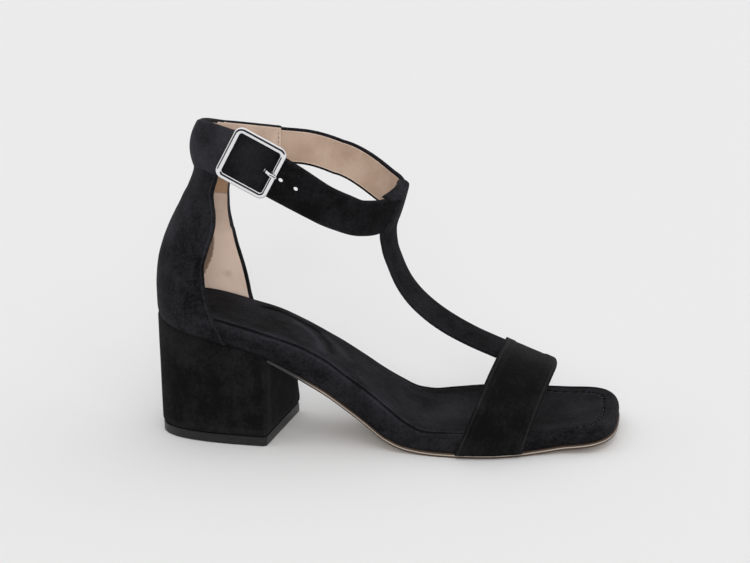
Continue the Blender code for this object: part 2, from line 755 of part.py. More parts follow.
def centre_over_origin(objects):
    # The shoe's box stands centred on the origin with its base on the floor
    corners = np.array([v.co for item in objects for v in item.data.vertices])
    low = corners.min(axis=0)
    high = corners.max(axis=0)
    shift = np.array((0.5 * (low[0] + high[0]), 0.5 * (low[1] + high[1]), low[2]))
    for item in objects:
        for v in item.data.vertices:
            v.co = v.co - type(v.co)(shift)
    print("box", np.round((high - low) / MM, 2), "shift", np.round(shift / MM, 3))


def main():
    for item in list(bpy.data.objects):
        bpy.data.objects.remove(item, do_unlink=True)
    suede = make_material("black_suede", SUEDE, 0.92)
    bed = make_material("black_suede_footbed", SUEDE_BED, 0.9)
    block = make_material("black_suede_heel", SUEDE, 0.92)
    tan = make_material("tan_leather", TAN_LEATHER, 0.55)
    lift = make_material("black_plastic", BLACK_PLASTIC, 0.35)
    metal = make_material("polished_nickel", NICKEL, 0.12, 1.0)
    pin = make_material("polished_nickel_pin", NICKEL, 0.14, 1.0)
    objects = [make_outsole(tan), make_footbed(bed)]
    objects += list(make_heel(block, lift))
    objects.append(make_upper(suede))
    objects.append(make_frame(metal))
    objects.append(make_prong(pin))
    centre_over_origin(objects)


main()
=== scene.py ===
import math

import bmesh
import bpy
import numpy as np
from mathutils import Matrix


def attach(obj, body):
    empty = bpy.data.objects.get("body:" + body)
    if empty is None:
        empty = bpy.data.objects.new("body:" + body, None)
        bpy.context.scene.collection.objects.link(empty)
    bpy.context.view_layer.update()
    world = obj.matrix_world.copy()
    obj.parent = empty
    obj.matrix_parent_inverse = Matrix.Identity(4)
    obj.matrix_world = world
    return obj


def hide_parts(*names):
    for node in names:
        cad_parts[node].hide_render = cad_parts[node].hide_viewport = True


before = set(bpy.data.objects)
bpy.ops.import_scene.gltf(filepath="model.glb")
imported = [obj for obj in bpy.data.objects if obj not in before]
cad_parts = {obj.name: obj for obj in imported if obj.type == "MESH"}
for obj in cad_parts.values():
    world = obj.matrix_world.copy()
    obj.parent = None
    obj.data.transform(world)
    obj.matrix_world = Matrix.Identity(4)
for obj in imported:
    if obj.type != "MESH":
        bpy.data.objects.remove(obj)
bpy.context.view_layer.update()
print("frame loaded:", ", ".join(sorted(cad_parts)))

# Lengths are millimetres on the shoe's own lines: station from the back of the heel to the toe,
# y minus on the outer side of the foot, z up from the floor
shoe = {
    "length": 244.0,
    "gap": 0.3,
    "originStation": 122.604,
    "originSide": -3.703,
    "merge": 2e-6,  # metres, as the mesh tools take them
    "sliver": 1e-7,
}
upright = np.array((0.0, 0.0, 1.0))


def rowsOf(names, values):
    block = np.array(values, float)
    return {name: block[:, i] for i, name in enumerate(names.split())}


def along(columns, key, name, at):
    # smooth curve through a table's rows that never swings past them
    xs = columns[key]
    ys = columns[name]
    at = np.clip(np.asarray(at, float), xs[0], xs[-1])
    step = np.diff(xs)
    rise = np.diff(ys) / step
    slope = np.zeros_like(ys)
    slope[0] = rise[0]
    slope[-1] = rise[-1]
    turning = rise[:-1] * rise[1:] <= 0.0
    safe = np.where(turning, 1.0, rise[:-1] + rise[1:])
    slope[1:-1] = np.where(turning, 0.0, 2.0 * rise[:-1] * rise[1:] / safe)
    i = np.clip(np.searchsorted(xs, at, side="right") - 1, 0, len(step) - 1)
    t = (at - xs[i]) / step[i]
    h = step[i]
    low = (1.0 + 2.0 * t) * (1.0 - t) ** 2 * ys[i] + t * (1.0 - t) ** 2 * h * slope[i]
    high = t * t * (3.0 - 2.0 * t) * ys[i + 1] + t * t * (t - 1.0) * h * slope[i + 1]
    return low + high


def signedPower(value, power):
    return np.sign(value) * np.abs(value) ** power


def unit(vectors):
    size = np.linalg.norm(vectors, axis=-1, keepdims=True)
    return vectors / np.maximum(size, 1e-9)


def runOf(path):
    # length along a path at each of its points
    return np.concatenate(([0.0], np.cumsum(np.linalg.norm(np.diff(path, axis=0), axis=1))))


def ease(value):
    value = np.clip(value, 0.0, 1.0)
    return value * value * (3.0 - 2.0 * value)


def ramp(value, amount, start, length):
    return amount * ease((value - start) / length)


def fade(value, amount, length):
    return amount * (1.0 - ease(value / length))


def bell(value, amount, middle, width):
    return amount * np.exp(-((value - middle) / width) ** 2)


def circleOf(sides, shift=0.0):
    return 2.0 * math.pi * (np.arange(sides) + shift) / sides


def crowded(count, amount):
    # shares from -1 to 1 that lie closer together near both ends
    shares = np.linspace(-1.0, 1.0, count)
    return (1.0 - amount) * shares + amount * np.sin(0.5 * math.pi * shares)


def lumps(points, size, seed):
    # repeatable soft noise between -1 and 1, with lumps about that size
    p = np.asarray(points, float) / size + seed * 17.31
    cell = np.floor(p).astype(np.int64)
    f = ease(p - cell)
    total = np.zeros(p.shape[:-1])
    for corner in np.ndindex(2, 2, 2):
        c = cell + np.array(corner)
        mixed = (c[..., 0] * 73856093) ^ (c[..., 1] * 19349663) ^ (c[..., 2] * 83492791)
        mixed = (mixed * 1103515245 + 12345) & 0x7FFFFFFF
        value = ((mixed >> 8) & 0xFFFF) / 32767.5 - 1.0
        share = np.ones(p.shape[:-1])
        for k in range(3):
            share = share * (f[..., k] if corner[k] else 1.0 - f[..., k])
        total = total + value * share
    return total


def waves(points, sizes, seed):
    # slow and quick lumps, each with its height and size
    return sum(high * lumps(points, size, seed + i) for i, (high, size) in enumerate(sizes))


def clouds(points, amount, size, seed):
    return amount * ease(lumps(points, size, seed))


def creaseDepth(plan, creases):
    # soft troughs and ridges along short lines; each has its points, width and depth
    total = np.zeros(plan.shape[:-1])
    for crease in creases:
        line = np.array(crease["line"], float)
        best = np.full(plan.shape[:-1], np.inf)
        for a, b in zip(line[:-1], line[1:]):
            run = b - a
            t = np.clip(((plan - a) @ run) / (run @ run), 0.0, 1.0)
            best = np.minimum(best, np.linalg.norm(plan - a - t[..., None] * run, axis=-1))
        total = total + bell(best, crease["depth"], 0.0, crease["width"])
    return total


def toRow(points):
    p = np.asarray(points, float).reshape(-1, 3)
    return (p - np.array((shoe["originStation"], shoe["originSide"], 0.0))) * 0.001


def makePiece(name, points, faces, materials, faceMaterial=None, worn=None, sharp=60.0):
    mesh = bpy.data.meshes.new(name)
    mesh.from_pydata(toRow(points).tolist(), [], faces)
    for material in materials:
        mesh.materials.append(material)
    if faceMaterial is not None:
        mesh.polygons.foreach_set("material_index", np.array(faceMaterial, np.int32))
    # this mark holds wear together with painted highlight, sheen and shade
    marks = np.zeros(len(mesh.vertices)) if worn is None else np.asarray(worn, float).ravel()
    mesh.attributes.new("worn", "FLOAT", "POINT").data.foreach_set("value", marks.astype(np.float32))
    work = bmesh.new()
    work.from_mesh(mesh)
    bmesh.ops.remove_doubles(work, verts=work.verts, dist=shoe["merge"])
    bmesh.ops.dissolve_degenerate(work, edges=work.edges, dist=shoe["sliver"])
    bmesh.ops.recalc_face_normals(work, faces=work.faces)
    work.to_mesh(mesh)
    work.free()
    mesh.polygons.foreach_set("use_smooth", np.ones(len(mesh.polygons), bool))
    mesh.set_sharp_from_angle(angle=math.radians(sharp))
    piece = bpy.data.objects.new(name, mesh)
    bpy.context.scene.collection.objects.link(piece)
    return piece


def dress(piece, slotName, *nodes):
    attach(piece, "root")
    if nodes:
        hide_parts(*nodes)


def ringFaces(rings, size, capped=False, loop=False):
    faces = []
    for r in range(rings if loop else rings - 1):
        n = (r + 1) % rings
        for i in range(size):
            j = (i + 1) % size
            faces.append((r * size + i, r * size + j, n * size + j, n * size + i))
    if capped:
        faces.append(tuple(range(size)))
        faces.append(tuple((rings - 1) * size + i for i in range(size)))
    return faces


def ringPiece(name, rings, materials, capped=False, **rest):
    faces = ringFaces(len(rings), len(rings[0]), capped)
    return makePiece(name, np.vstack(rings), faces, materials, **rest)


class Nodes:
    # short ways to add and link the nodes of a material or of the room
    def __init__(self, owner):
        owner.use_nodes = True
        self.tree = owner.node_tree

    def add(self, kind, **values):
        node = self.tree.nodes.new(kind)
        for key, value in values.items():
            setattr(node, key, value)
        return node

    def give(self, socket, value):
        # numbers and colours go on the socket itself, anything else is linked
        if isinstance(value, (int, float, tuple)):
            socket.default_value = value
        else:
            self.tree.links.new(value, socket)

    def span(self, value, low, high, toLow=0.0, toHigh=1.0):
        node = self.add("ShaderNodeMapRange", clamp=True)
        keys = ("Value", "From Min", "From Max", "To Min", "To Max")
        for key, number in zip(keys, (value, low, high, toLow, toHigh)):
            self.give(node.inputs[key], number)
        return node.outputs["Result"]

    def math(self, kind, a, b, clamp=False):
        node = self.add("ShaderNodeMath", operation=kind, use_clamp=clamp)
        self.give(node.inputs[0], a)
        self.give(node.inputs[1], b)
        return node.outputs["Value"]

    def mix(self, share, low, high):
        node = self.add("ShaderNodeMix", data_type="RGBA")
        for key, value in (("Factor", share), (6, low), (7, high)):
            self.give(node.inputs[key], value)
        return node.outputs[2]


class Finish(Nodes):
    def __init__(self, name):
        self.material = bpy.data.materials.new(name)
        super().__init__(self.material)
        self.shader = self.tree.nodes["Principled BSDF"]

    def set(self, **values):
        for key, value in values.items():
            self.give(self.shader.inputs[key.replace("_", " ")], value)

    def coords(self):
        return self.add("ShaderNodeTexCoord").outputs["Object"]

    def noise(self, scale, detail, rough, stretch=None):
        node = self.add("ShaderNodeTexNoise")
        for key, value in (("Scale", scale), ("Detail", detail), ("Roughness", rough)):
            self.give(node.inputs[key], value)
        source = self.coords()
        if stretch is not None:
            mapping = self.add("ShaderNodeMapping")
            self.give(mapping.inputs["Scale"], stretch)
            self.give(mapping.inputs["Vector"], source)
            source = mapping.outputs["Vector"]
        self.give(node.inputs["Vector"], source)
        return node.outputs["Fac"]

    def patches(self, noise, contrast, stretch=None):
        return self.span(self.noise(*noise, stretch), *contrast)

    def mark(self, name):
        return self.add("ShaderNodeAttribute", attribute_name=name).outputs["Fac"]

    def bump(self, height, strength, depth, before=None):
        node = self.add("ShaderNodeBump")
        for key, value in (("Strength", strength), ("Distance", depth), ("Height", height)):
            self.give(node.inputs[key], value)
        if before is not None:
            self.give(node.inputs["Normal"], before)
        return node.outputs["Normal"]


# Camera at the photograph's angle, fitted on the sole, heel and straps
cameraSet = {
    "lens": 115.2,
    "sensor": 36.0,
    "clipEnd": 30.0,
    "right": (0.9886, 0.1480, -0.0284),
    "up": (-0.0151, 0.2850, 0.9584),
    "back": (0.1500, -0.9470, 0.2840),
    "place": (0.18252, -1.18382, 0.43672),
}


def makeCamera():
    data = bpy.data.cameras.new("shoeCamera")
    data.lens = cameraSet["lens"]
    data.sensor_width = cameraSet["sensor"]
    data.clip_end = cameraSet["clipEnd"]
    camera = bpy.data.objects.new("shoeCamera", data)
    turn = Matrix.Identity(4)
    for column, name in enumerate(("right", "up", "back", "place")):
        for row in range(3):
            turn[row][column] = cameraSet[name][row]
    camera.matrix_world = turn
    bpy.context.scene.collection.objects.link(camera)
    bpy.context.scene.camera = camera


makeCamera()
print("camera placed")

# Pale floor and soft studio light
studio = {
    "floorColour": (0.80, 0.80, 0.80, 1.0),
    "floorRough": 0.9,
    "floorGloss": 0.1,
    "floorSize": 12.0,
    "floorFront": -1.35,
    "skyLow": (0.75, 0.75, 0.75, 1.0),
    "skyHigh": (1.0, 1.0, 1.0, 1.0),
    "skyRise": (0.0, 0.8),
    "skyStrength": 0.95,
    "roomDark": (0.03, 0.03, 0.035, 1.0),
    "darkFront": (-0.35, -0.60),
    "darkBelow": (0.80, 0.60),
    "lamps": [
        {"name": "softSun", "strength": 1.25, "spread": 60.0, "turn": (58.0, 28.0, 0.0)},
        {"name": "frontFill", "strength": 0.85, "spread": 20.0, "turn": (72.0, 0.0, 10.0)},
    ],
}


def makeFloor():
    half = studio["floorSize"] / 2
    front = studio["floorFront"]
    corners = [(-half, front, 0), (half, front, 0), (half, half, 0), (-half, half, 0)]
    mesh = bpy.data.meshes.new("floor")
    mesh.from_pydata(corners, [], [(0, 1, 2, 3)])
    floor = bpy.data.objects.new("floor", mesh)
    bpy.context.scene.collection.objects.link(floor)
    pale = Finish("paleFloor")
    pale.set(Base_Color=studio["floorColour"], Roughness=studio["floorRough"])
    pale.set(Specular_IOR_Level=studio["floorGloss"])
    mesh.materials.append(pale.material)


def makeRoom():
    world = bpy.data.worlds.new("softRoom")
    room = Nodes(world)
    split = room.add("ShaderNodeSeparateXYZ")
    room.give(split.inputs["Vector"], room.add("ShaderNodeTexCoord").outputs["Generated"])
    sky = room.mix(room.span(split.outputs["Z"], *studio["skyRise"]), studio["skyLow"], studio["skyHigh"])
    # the dark end gives the metal something to mirror; the camera's own rays see a pale wall there
    front = room.span(split.outputs["Y"], *studio["darkFront"])
    below = room.span(split.outputs["Z"], *studio["darkBelow"])
    seen = room.add("ShaderNodeLightPath").outputs["Is Camera Ray"]
    dark = room.math("SUBTRACT", room.math("MULTIPLY", front, below), seen, True)
    background = room.tree.nodes["Background"]
    room.give(background.inputs["Color"], room.mix(dark, sky, studio["roomDark"]))
    room.give(background.inputs["Strength"], studio["skyStrength"])
    bpy.context.scene.world = world


def makeLamps():
    for lamp in studio["lamps"]:
        data = bpy.data.lights.new(lamp["name"], "SUN")
        data.energy = lamp["strength"]
        data.angle = math.radians(lamp["spread"])
        sun = bpy.data.objects.new(lamp["name"], data)
        sun.visible_glossy = False  # the metal mirrors the room, not the lamps
        sun.rotation_euler = [math.radians(a) for a in lamp["turn"]]
        bpy.context.scene.collection.objects.link(sun)
    view = bpy.context.scene.view_settings
    view.view_transform = "Standard"
    view.look = "None"


makeFloor()
makeRoom()
makeLamps()
print("floor and light set")

# Colours of the finishes
colours = {
    "suedeDark": (0.0050, 0.0050, 0.0052, 1.0),
    "suedeLight": (0.045, 0.0435, 0.0520, 1.0),
    "suedePlain": (0.045, 0.0445, 0.0465, 1.0),
    "suedeSheen": (0.80, 0.80, 0.88, 1.0),
    "liningPale": (0.80, 0.645, 0.545, 1.0),
    "liningDeep": (0.36, 0.245, 0.175, 1.0),
    # painted shadow that the casing casts on the counter's lining
    "liningCasingShadow": (0.41, 0.25, 0.15, 1.0),
    "liningShade": (0.26, 0.18, 0.13, 1.0),
    "edgeCream": (0.43, 0.385, 0.335, 1.0),
    "edgeBrown": (0.085, 0.055, 0.038, 1.0),
    "edgeShade": (0.030, 0.029, 0.029, 1.0),
    "underTan": (0.42, 0.32, 0.23, 1.0),
    "liftDark": (0.011, 0.011, 0.012, 1.0),
    "nickel": (0.86, 0.86, 0.88, 1.0),
}

# Suede. A noise has its scale per metre, detail and roughness, then the contrast it is cut to
suedeSet = {
    "patches": ((62.0, 3.0, 0.55), (0.36, 0.66)),
    "streaks": ((170.0, 2.5, 0.55), (0.36, 0.68)),
    "clumps": ((640.0, 3.0, 0.6), (0.34, 0.68)),
    "fibre": (3600.0, 2.0, 0.6),
    "streakShare": 0.75,
    "fibreShare": 0.17,
    "wornShare": 0.85,
    "cloudFloor": 0.55,
    "paleSpan": 0.97,
    "clumpBump": (0.30, 0.0006),
    "fibreBump": (0.55, 0.0004),
    "nap": {"Roughness": 0.96, "Specular_IOR_Level": 0.04,
            "Sheen_Weight": 0.025, "Sheen_Roughness": 0.42},
    # each kind's lift makes its suede paler or darker: lit and shaded copies of one suede, painted light
    # and shade
    "kinds": {
        "suedeUpper": {"stretch": (1.0, 1.0, 0.5), "lift": 0.11, "cloudy": 0.19, "grainy": 0.21,
                       "pale": "suedeLight"},
        "suedeVamp": {"stretch": (1.0, 1.0, 0.7), "lift": -0.10, "cloudy": 0.07, "grainy": 0.10,
                      "pale": "suedePlain"},
        "suedeStrap": {"stretch": (0.6, 1.0, 1.0), "lift": -0.06, "cloudy": 0.12, "grainy": 0.13,
                       "pale": "suedeLight"},
        "suedeBed": {"stretch": (0.8, 1.0, 1.0), "lift": 0.05, "cloudy": 0.13, "grainy": 0.19,
                     "pale": "suedeLight"},
        "suedeHeel": {"stretch": (1.0, 1.0, 0.7), "lift": -0.07, "cloudy": 0.12, "grainy": 0.13,
                      "pale": "suedePlain"},
    },
}


def makeSuede(name, stretch, lift, cloudy, grainy, pale):
    # brushed nap: cloudy patches, streaks along the brush and short fibres; marks of wear and painted
    # light turn it paler, painted shade below zero darker
    f = Finish(name)
    patches = f.patches(*suedeSet["patches"])
    streaks = f.patches(*suedeSet["streaks"], stretch)
    clumps = f.patches(*suedeSet["clumps"])
    fibre = f.noise(*suedeSet["fibre"])
    layers = ((patches, cloudy), (streaks, suedeSet["streakShare"] * cloudy), (clumps, grainy),
              (fibre, suedeSet["fibreShare"]), (f.mark("worn"), suedeSet["wornShare"]))
    total = 0.0
    for layer, weight in layers:
        total = f.math("ADD", f.math("MULTIPLY", layer, weight), total)
    dark = 0.5 * grainy - lift
    share = f.span(total, dark + suedeSet["cloudFloor"] * cloudy, dark + suedeSet["paleSpan"])
    soft = f.bump(clumps, *suedeSet["clumpBump"])
    f.set(Base_Color=f.mix(share, colours["suedeDark"], colours[pale]))
    f.set(Normal=f.bump(fibre, *suedeSet["fibreBump"], soft), **suedeSet["nap"])
    f.set(Sheen_Tint=colours["suedeSheen"])
    return f.material


# Lining leather; its mark of wear and painted shade turns it brown, then to the brown of the casing's
# painted shadow, and below zero to painted shade
liningSet = {
    "clouds": ((70.0, 3.0, 0.55), (0.35, 0.70)),
    "cloudShare": 0.24,
    "poreScale": 1500.0,
    "poreBump": (0.25, 0.0003),
    "grain": (2400.0, 2.0, 0.6),
    "grainBump": (0.25, 0.0002),
    "tones": (("liningDeep", 0.0, 1.0), ("liningCasingShadow", 1.2, 1.8), ("liningShade", -0.3, -0.8)),
    "rough": (0.52, 0.66),
    "gloss": 0.35,
}


def makeLining(name):
    f = Finish(name)
    cloud = f.patches(*liningSet["clouds"])
    pores = f.add("ShaderNodeTexVoronoi", feature="F1")
    f.give(pores.inputs["Scale"], liningSet["poreScale"])
    f.give(pores.inputs["Vector"], f.coords())
    deep = f.math("ADD", f.math("MULTIPLY", cloud, liningSet["cloudShare"]), f.mark("worn"))
    colour = colours["liningPale"]
    for tone, low, high in liningSet["tones"]:
        colour = f.mix(f.span(deep, low, high), colour, colours[tone])
    soft = f.bump(pores.outputs["Distance"], *liningSet["poreBump"])
    soft = f.bump(f.noise(*liningSet["grain"]), *liningSet["grainBump"], soft)
    f.set(Base_Color=colour, Normal=soft, Roughness=f.span(cloud, 0.0, 1.0, *liningSet["rough"]))
    f.set(Specular_IOR_Level=liningSet["gloss"])
    return f.material


def shade(name, factor):
    return tuple(c * factor for c in colours[name][:3]) + (1.0,)


# Plain finishes of the sole's edge, underside, lift and thread; fade is the colour their marks turn them
# to
flatGrain = {
    "cloud": (3.0, 0.6),
    "contrast": (0.32, 0.70),
    "fine": (2.0, 0.6),
    "deep": 0.0003,
}
flatSet = {
    "edgeCream": {"low": shade("edgeCream", 0.86), "high": colours["edgeCream"], "scale": 160.0,
                  "rough": (0.5, 0.7), "fade": colours["edgeShade"]},
    "edgeBrown": {"low": shade("edgeBrown", 0.7), "high": colours["edgeBrown"], "scale": 300.0,
                  "rough": (0.6, 0.8), "fade": colours["edgeShade"]},
    "underTan": {"low": shade("underTan", 0.82), "high": colours["underTan"], "scale": 60.0,
                 "rough": (0.42, 0.66), "stretch": (0.3, 1.0, 1.0)},
    "liftSatin": {"low": shade("liftDark", 0.75), "high": shade("liftDark", 1.5), "scale": 220.0,
                  "rough": (0.34, 0.5), "stretch": (1.0, 1.0, 4.0), "grain": 1500.0, "bump": 0.12,
                  "gloss": 0.3},
    "threadTan": {"low": (0.20, 0.13, 0.09, 1.0), "high": (0.42, 0.31, 0.24, 1.0), "scale": 700.0,
                  "rough": (0.6, 0.8)},
    "threadDark": {"low": (0.020, 0.020, 0.022, 1.0), "high": (0.11, 0.108, 0.112, 1.0), "scale": 700.0,
                   "rough": (0.6, 0.8)},
}


def makeFlat(name, low, high, scale, rough, stretch=None, grain=1800.0, bump=0.2, gloss=0.5, fade=None):
    f = Finish(name)
    cloud = f.patches((scale, *flatGrain["cloud"]), flatGrain["contrast"], stretch)
    colour = f.mix(cloud, low, high)
    if fade is not None:
        colour = f.mix(f.mark("worn"), colour, fade)
    f.set(Base_Color=colour, Roughness=f.span(cloud, 0.0, 1.0, *rough))
    fine = f.noise(grain, *flatGrain["fine"])
    f.set(Normal=f.bump(fine, bump, flatGrain["deep"]), Specular_IOR_Level=gloss)
    return f.material


# Polished nickel with faint haze and fine scratches
nickelSet = {
    "haze": ((420.0, 3.0, 0.6), (0.35, 0.72)),
    "scratch": (900.0, 2.0, 0.5, (1.0, 1.0, 9.0)),
    "scratchBump": (0.02, 0.00005),
    "rough": (0.05, 0.11),
}


def makeNickel(name):
    f = Finish(name)
    haze = f.patches(*nickelSet["haze"])
    f.set(Base_Color=colours["nickel"], Metallic=1.0)
    f.set(Roughness=f.span(haze, 0.0, 1.0, *nickelSet["rough"]))
    f.set(Normal=f.bump(f.noise(*nickelSet["scratch"]), *nickelSet["scratchBump"]))
    return f.material


suede = {name: makeSuede(name, **kind) for name, kind in suedeSet["kinds"].items()}
flat = {name: makeFlat(name, **kind) for name, kind in flatSet.items()}
liningTan = makeLining("liningTan")
nickelBright = makeNickel("nickelBright")
print("finishes made")

# Sole outline shared by footbed and outsole
soleSet = {
    "heelCentre": 30.0,
    "heelBack": 3.6,
    "heelSquare": 2.15,
    "toeCentre": 220.0,
    "toeSquare": 3.0,
    "toeSkew": 0.05,
    "sideSteps": 130,
    "toeSteps": 121,
    "heelSteps": 49,
    "breastSteps": 25,
    "rows": rowsOf("station lateral medial topLateral topMedial sag bottom", [
        (0, -28.4, 27.0, 74.4, 73.8, 2.0, 66.4),
        (16, -28.4, 27.0, 71.6, 70.2, 2.0, 61.6),
        (30, -28.6, 27.0, 68.8, 67.2, 2.0, 57.7),
        (46, -30.4, 24.4, 65.6, 64.0, 1.8, 53.2),
        (62, -31.5, 20.8, 61.2, 60.6, 1.6, 47.7),
        (78, -31.5, 17.4, 55.8, 54.6, 1.4, 39.6),
        (93, -32.0, 16.0, 48.6, 46.6, 1.2, 31.0),
        (105, -33.4, 16.9, 40.0, 38.4, 1.0, 22.8),
        (115, -35.2, 19.2, 33.3, 30.2, 1.0, 15.6),
        (126, -37.8, 22.6, 25.1, 21.8, 1.0, 7.7),
        (136, -40.0, 26.2, 17.6, 15.6, 0.9, 4.0),
        (146, -41.9, 29.8, 13.4, 13.6, 1.0, 2.75),
        (154, -43.2, 32.4, 12.8, 13.7, 1.3, 2.5),
        (170, -44.6, 36.2, 13.0, 14.0, 1.5, 2.5),
        (182, -43.8, 37.2, 12.8, 14.1, 1.5, 2.5),
        (192, -41.3, 36.7, 12.6, 14.2, 1.5, 2.5),
        (206, -37.4, 34.6, 12.7, 14.6, 1.4, 3.4),
        (220, -34.2, 32.0, 13.3, 15.4, 1.3, 4.8),
        (244, -34.2, 32.0, 14.8, 15.8, 0.8, 7.1),
    ]),
}


def sole(name, station):
    return along(soleSet["rows"], "station", name, station)


def soleUnder(points):
    return sole("bottom", points[:, 0])


def soleOutline(start=None):
    # outline in plan, the middle line it shrinks to, and a lap number for each point:
    # 0 to 1 lateral, 1 to 2 toe, 2 to 3 medial, 3 to 4 heel
    stations = np.linspace(soleSet["heelCentre"], soleSet["toeCentre"], soleSet["sideSteps"])
    if start is not None:
        stations = stations[stations > max(start) + 1.0]
    lateral = np.column_stack((stations, sole("lateral", stations)))
    medial = np.column_stack((stations, sole("medial", stations)))
    middle = np.column_stack((stations, 0.5 * (lateral[:, 1] + medial[:, 1])))
    turn = np.radians(np.linspace(-90.0, 90.0, soleSet["toeSteps"]))[1:-1]
    half = 0.5 * (medial[-1, 1] - lateral[-1, 1])
    power = 2.0 / soleSet["toeSquare"]
    y = middle[-1, 1] + half * signedPower(np.sin(turn), power)
    reach = (shoe["length"] - soleSet["toeCentre"]) * np.cos(turn) ** power
    toe = np.column_stack((soleSet["toeCentre"] + reach * (1.0 + soleSet["toeSkew"] * np.sin(turn)), y))
    if start is None:
        back = np.radians(np.linspace(90.0, -90.0, soleSet["heelSteps"]))[1:-1]
        half = 0.5 * (medial[0, 1] - lateral[0, 1])
        power = 2.0 / soleSet["heelSquare"]
        y = middle[0, 1] + half * signedPower(np.sin(back), power)
        depth = soleSet["heelCentre"] - soleSet["heelBack"]
        heel = np.column_stack((soleSet["heelCentre"] - depth * np.cos(back) ** power, y))
    else:
        share = np.linspace(1.0, 0.0, soleSet["breastSteps"])[:, None]
        corners = [np.array((s, float(sole(name, s)))) for s, name in zip(start, ("lateral", "medial"))]
        heel = corners[0] * (1.0 - share) + corners[1] * share
    edge = np.vstack((lateral, toe, medial[::-1], heel))
    spine = np.vstack((middle, np.repeat(middle[-1:], len(toe), 0),
                       middle[::-1], np.repeat(middle[:1], len(heel), 0)))
    lap = np.concatenate((np.linspace(0, 1, len(lateral)), np.linspace(1, 2, len(toe) + 2)[1:-1],
                          np.linspace(2, 3, len(medial)), np.linspace(3, 4, len(heel) + 2)[1:-1]))
    return edge, spine, lap


def outwardOf(edge):
    run = np.roll(edge, -1, 0) - np.roll(edge, 1, 0)
    return unit(np.column_stack((run[:, 1], -run[:, 0])))


def insetLine(edge, distance):
    return edge - outwardOf(edge) * np.reshape(distance, (-1, 1))


def bedTop(points):
    station = np.maximum(points[:, 0], 0.0)
    lateral = sole("lateral", station)
    medial = sole("medial", station)
    across = np.clip((points[:, 1] - lateral) / (medial - lateral), 0.0, 1.0)
    low = sole("topLateral", station)
    high = sole("topMedial", station)
    return low + (high - low) * across - sole("sag", station) * 4.0 * across * (1.0 - across)


def stack(edge, height):
    return np.column_stack((edge, np.broadcast_to(height, len(edge))))


def lidRings(spine, brim, shares, heightOf):
    # rings that shrink from a brim to its middle line, or grow out from it
    plans = [spine + (brim - spine) * share for share in shares]
    return [stack(plan, heightOf(plan)) for plan in plans]


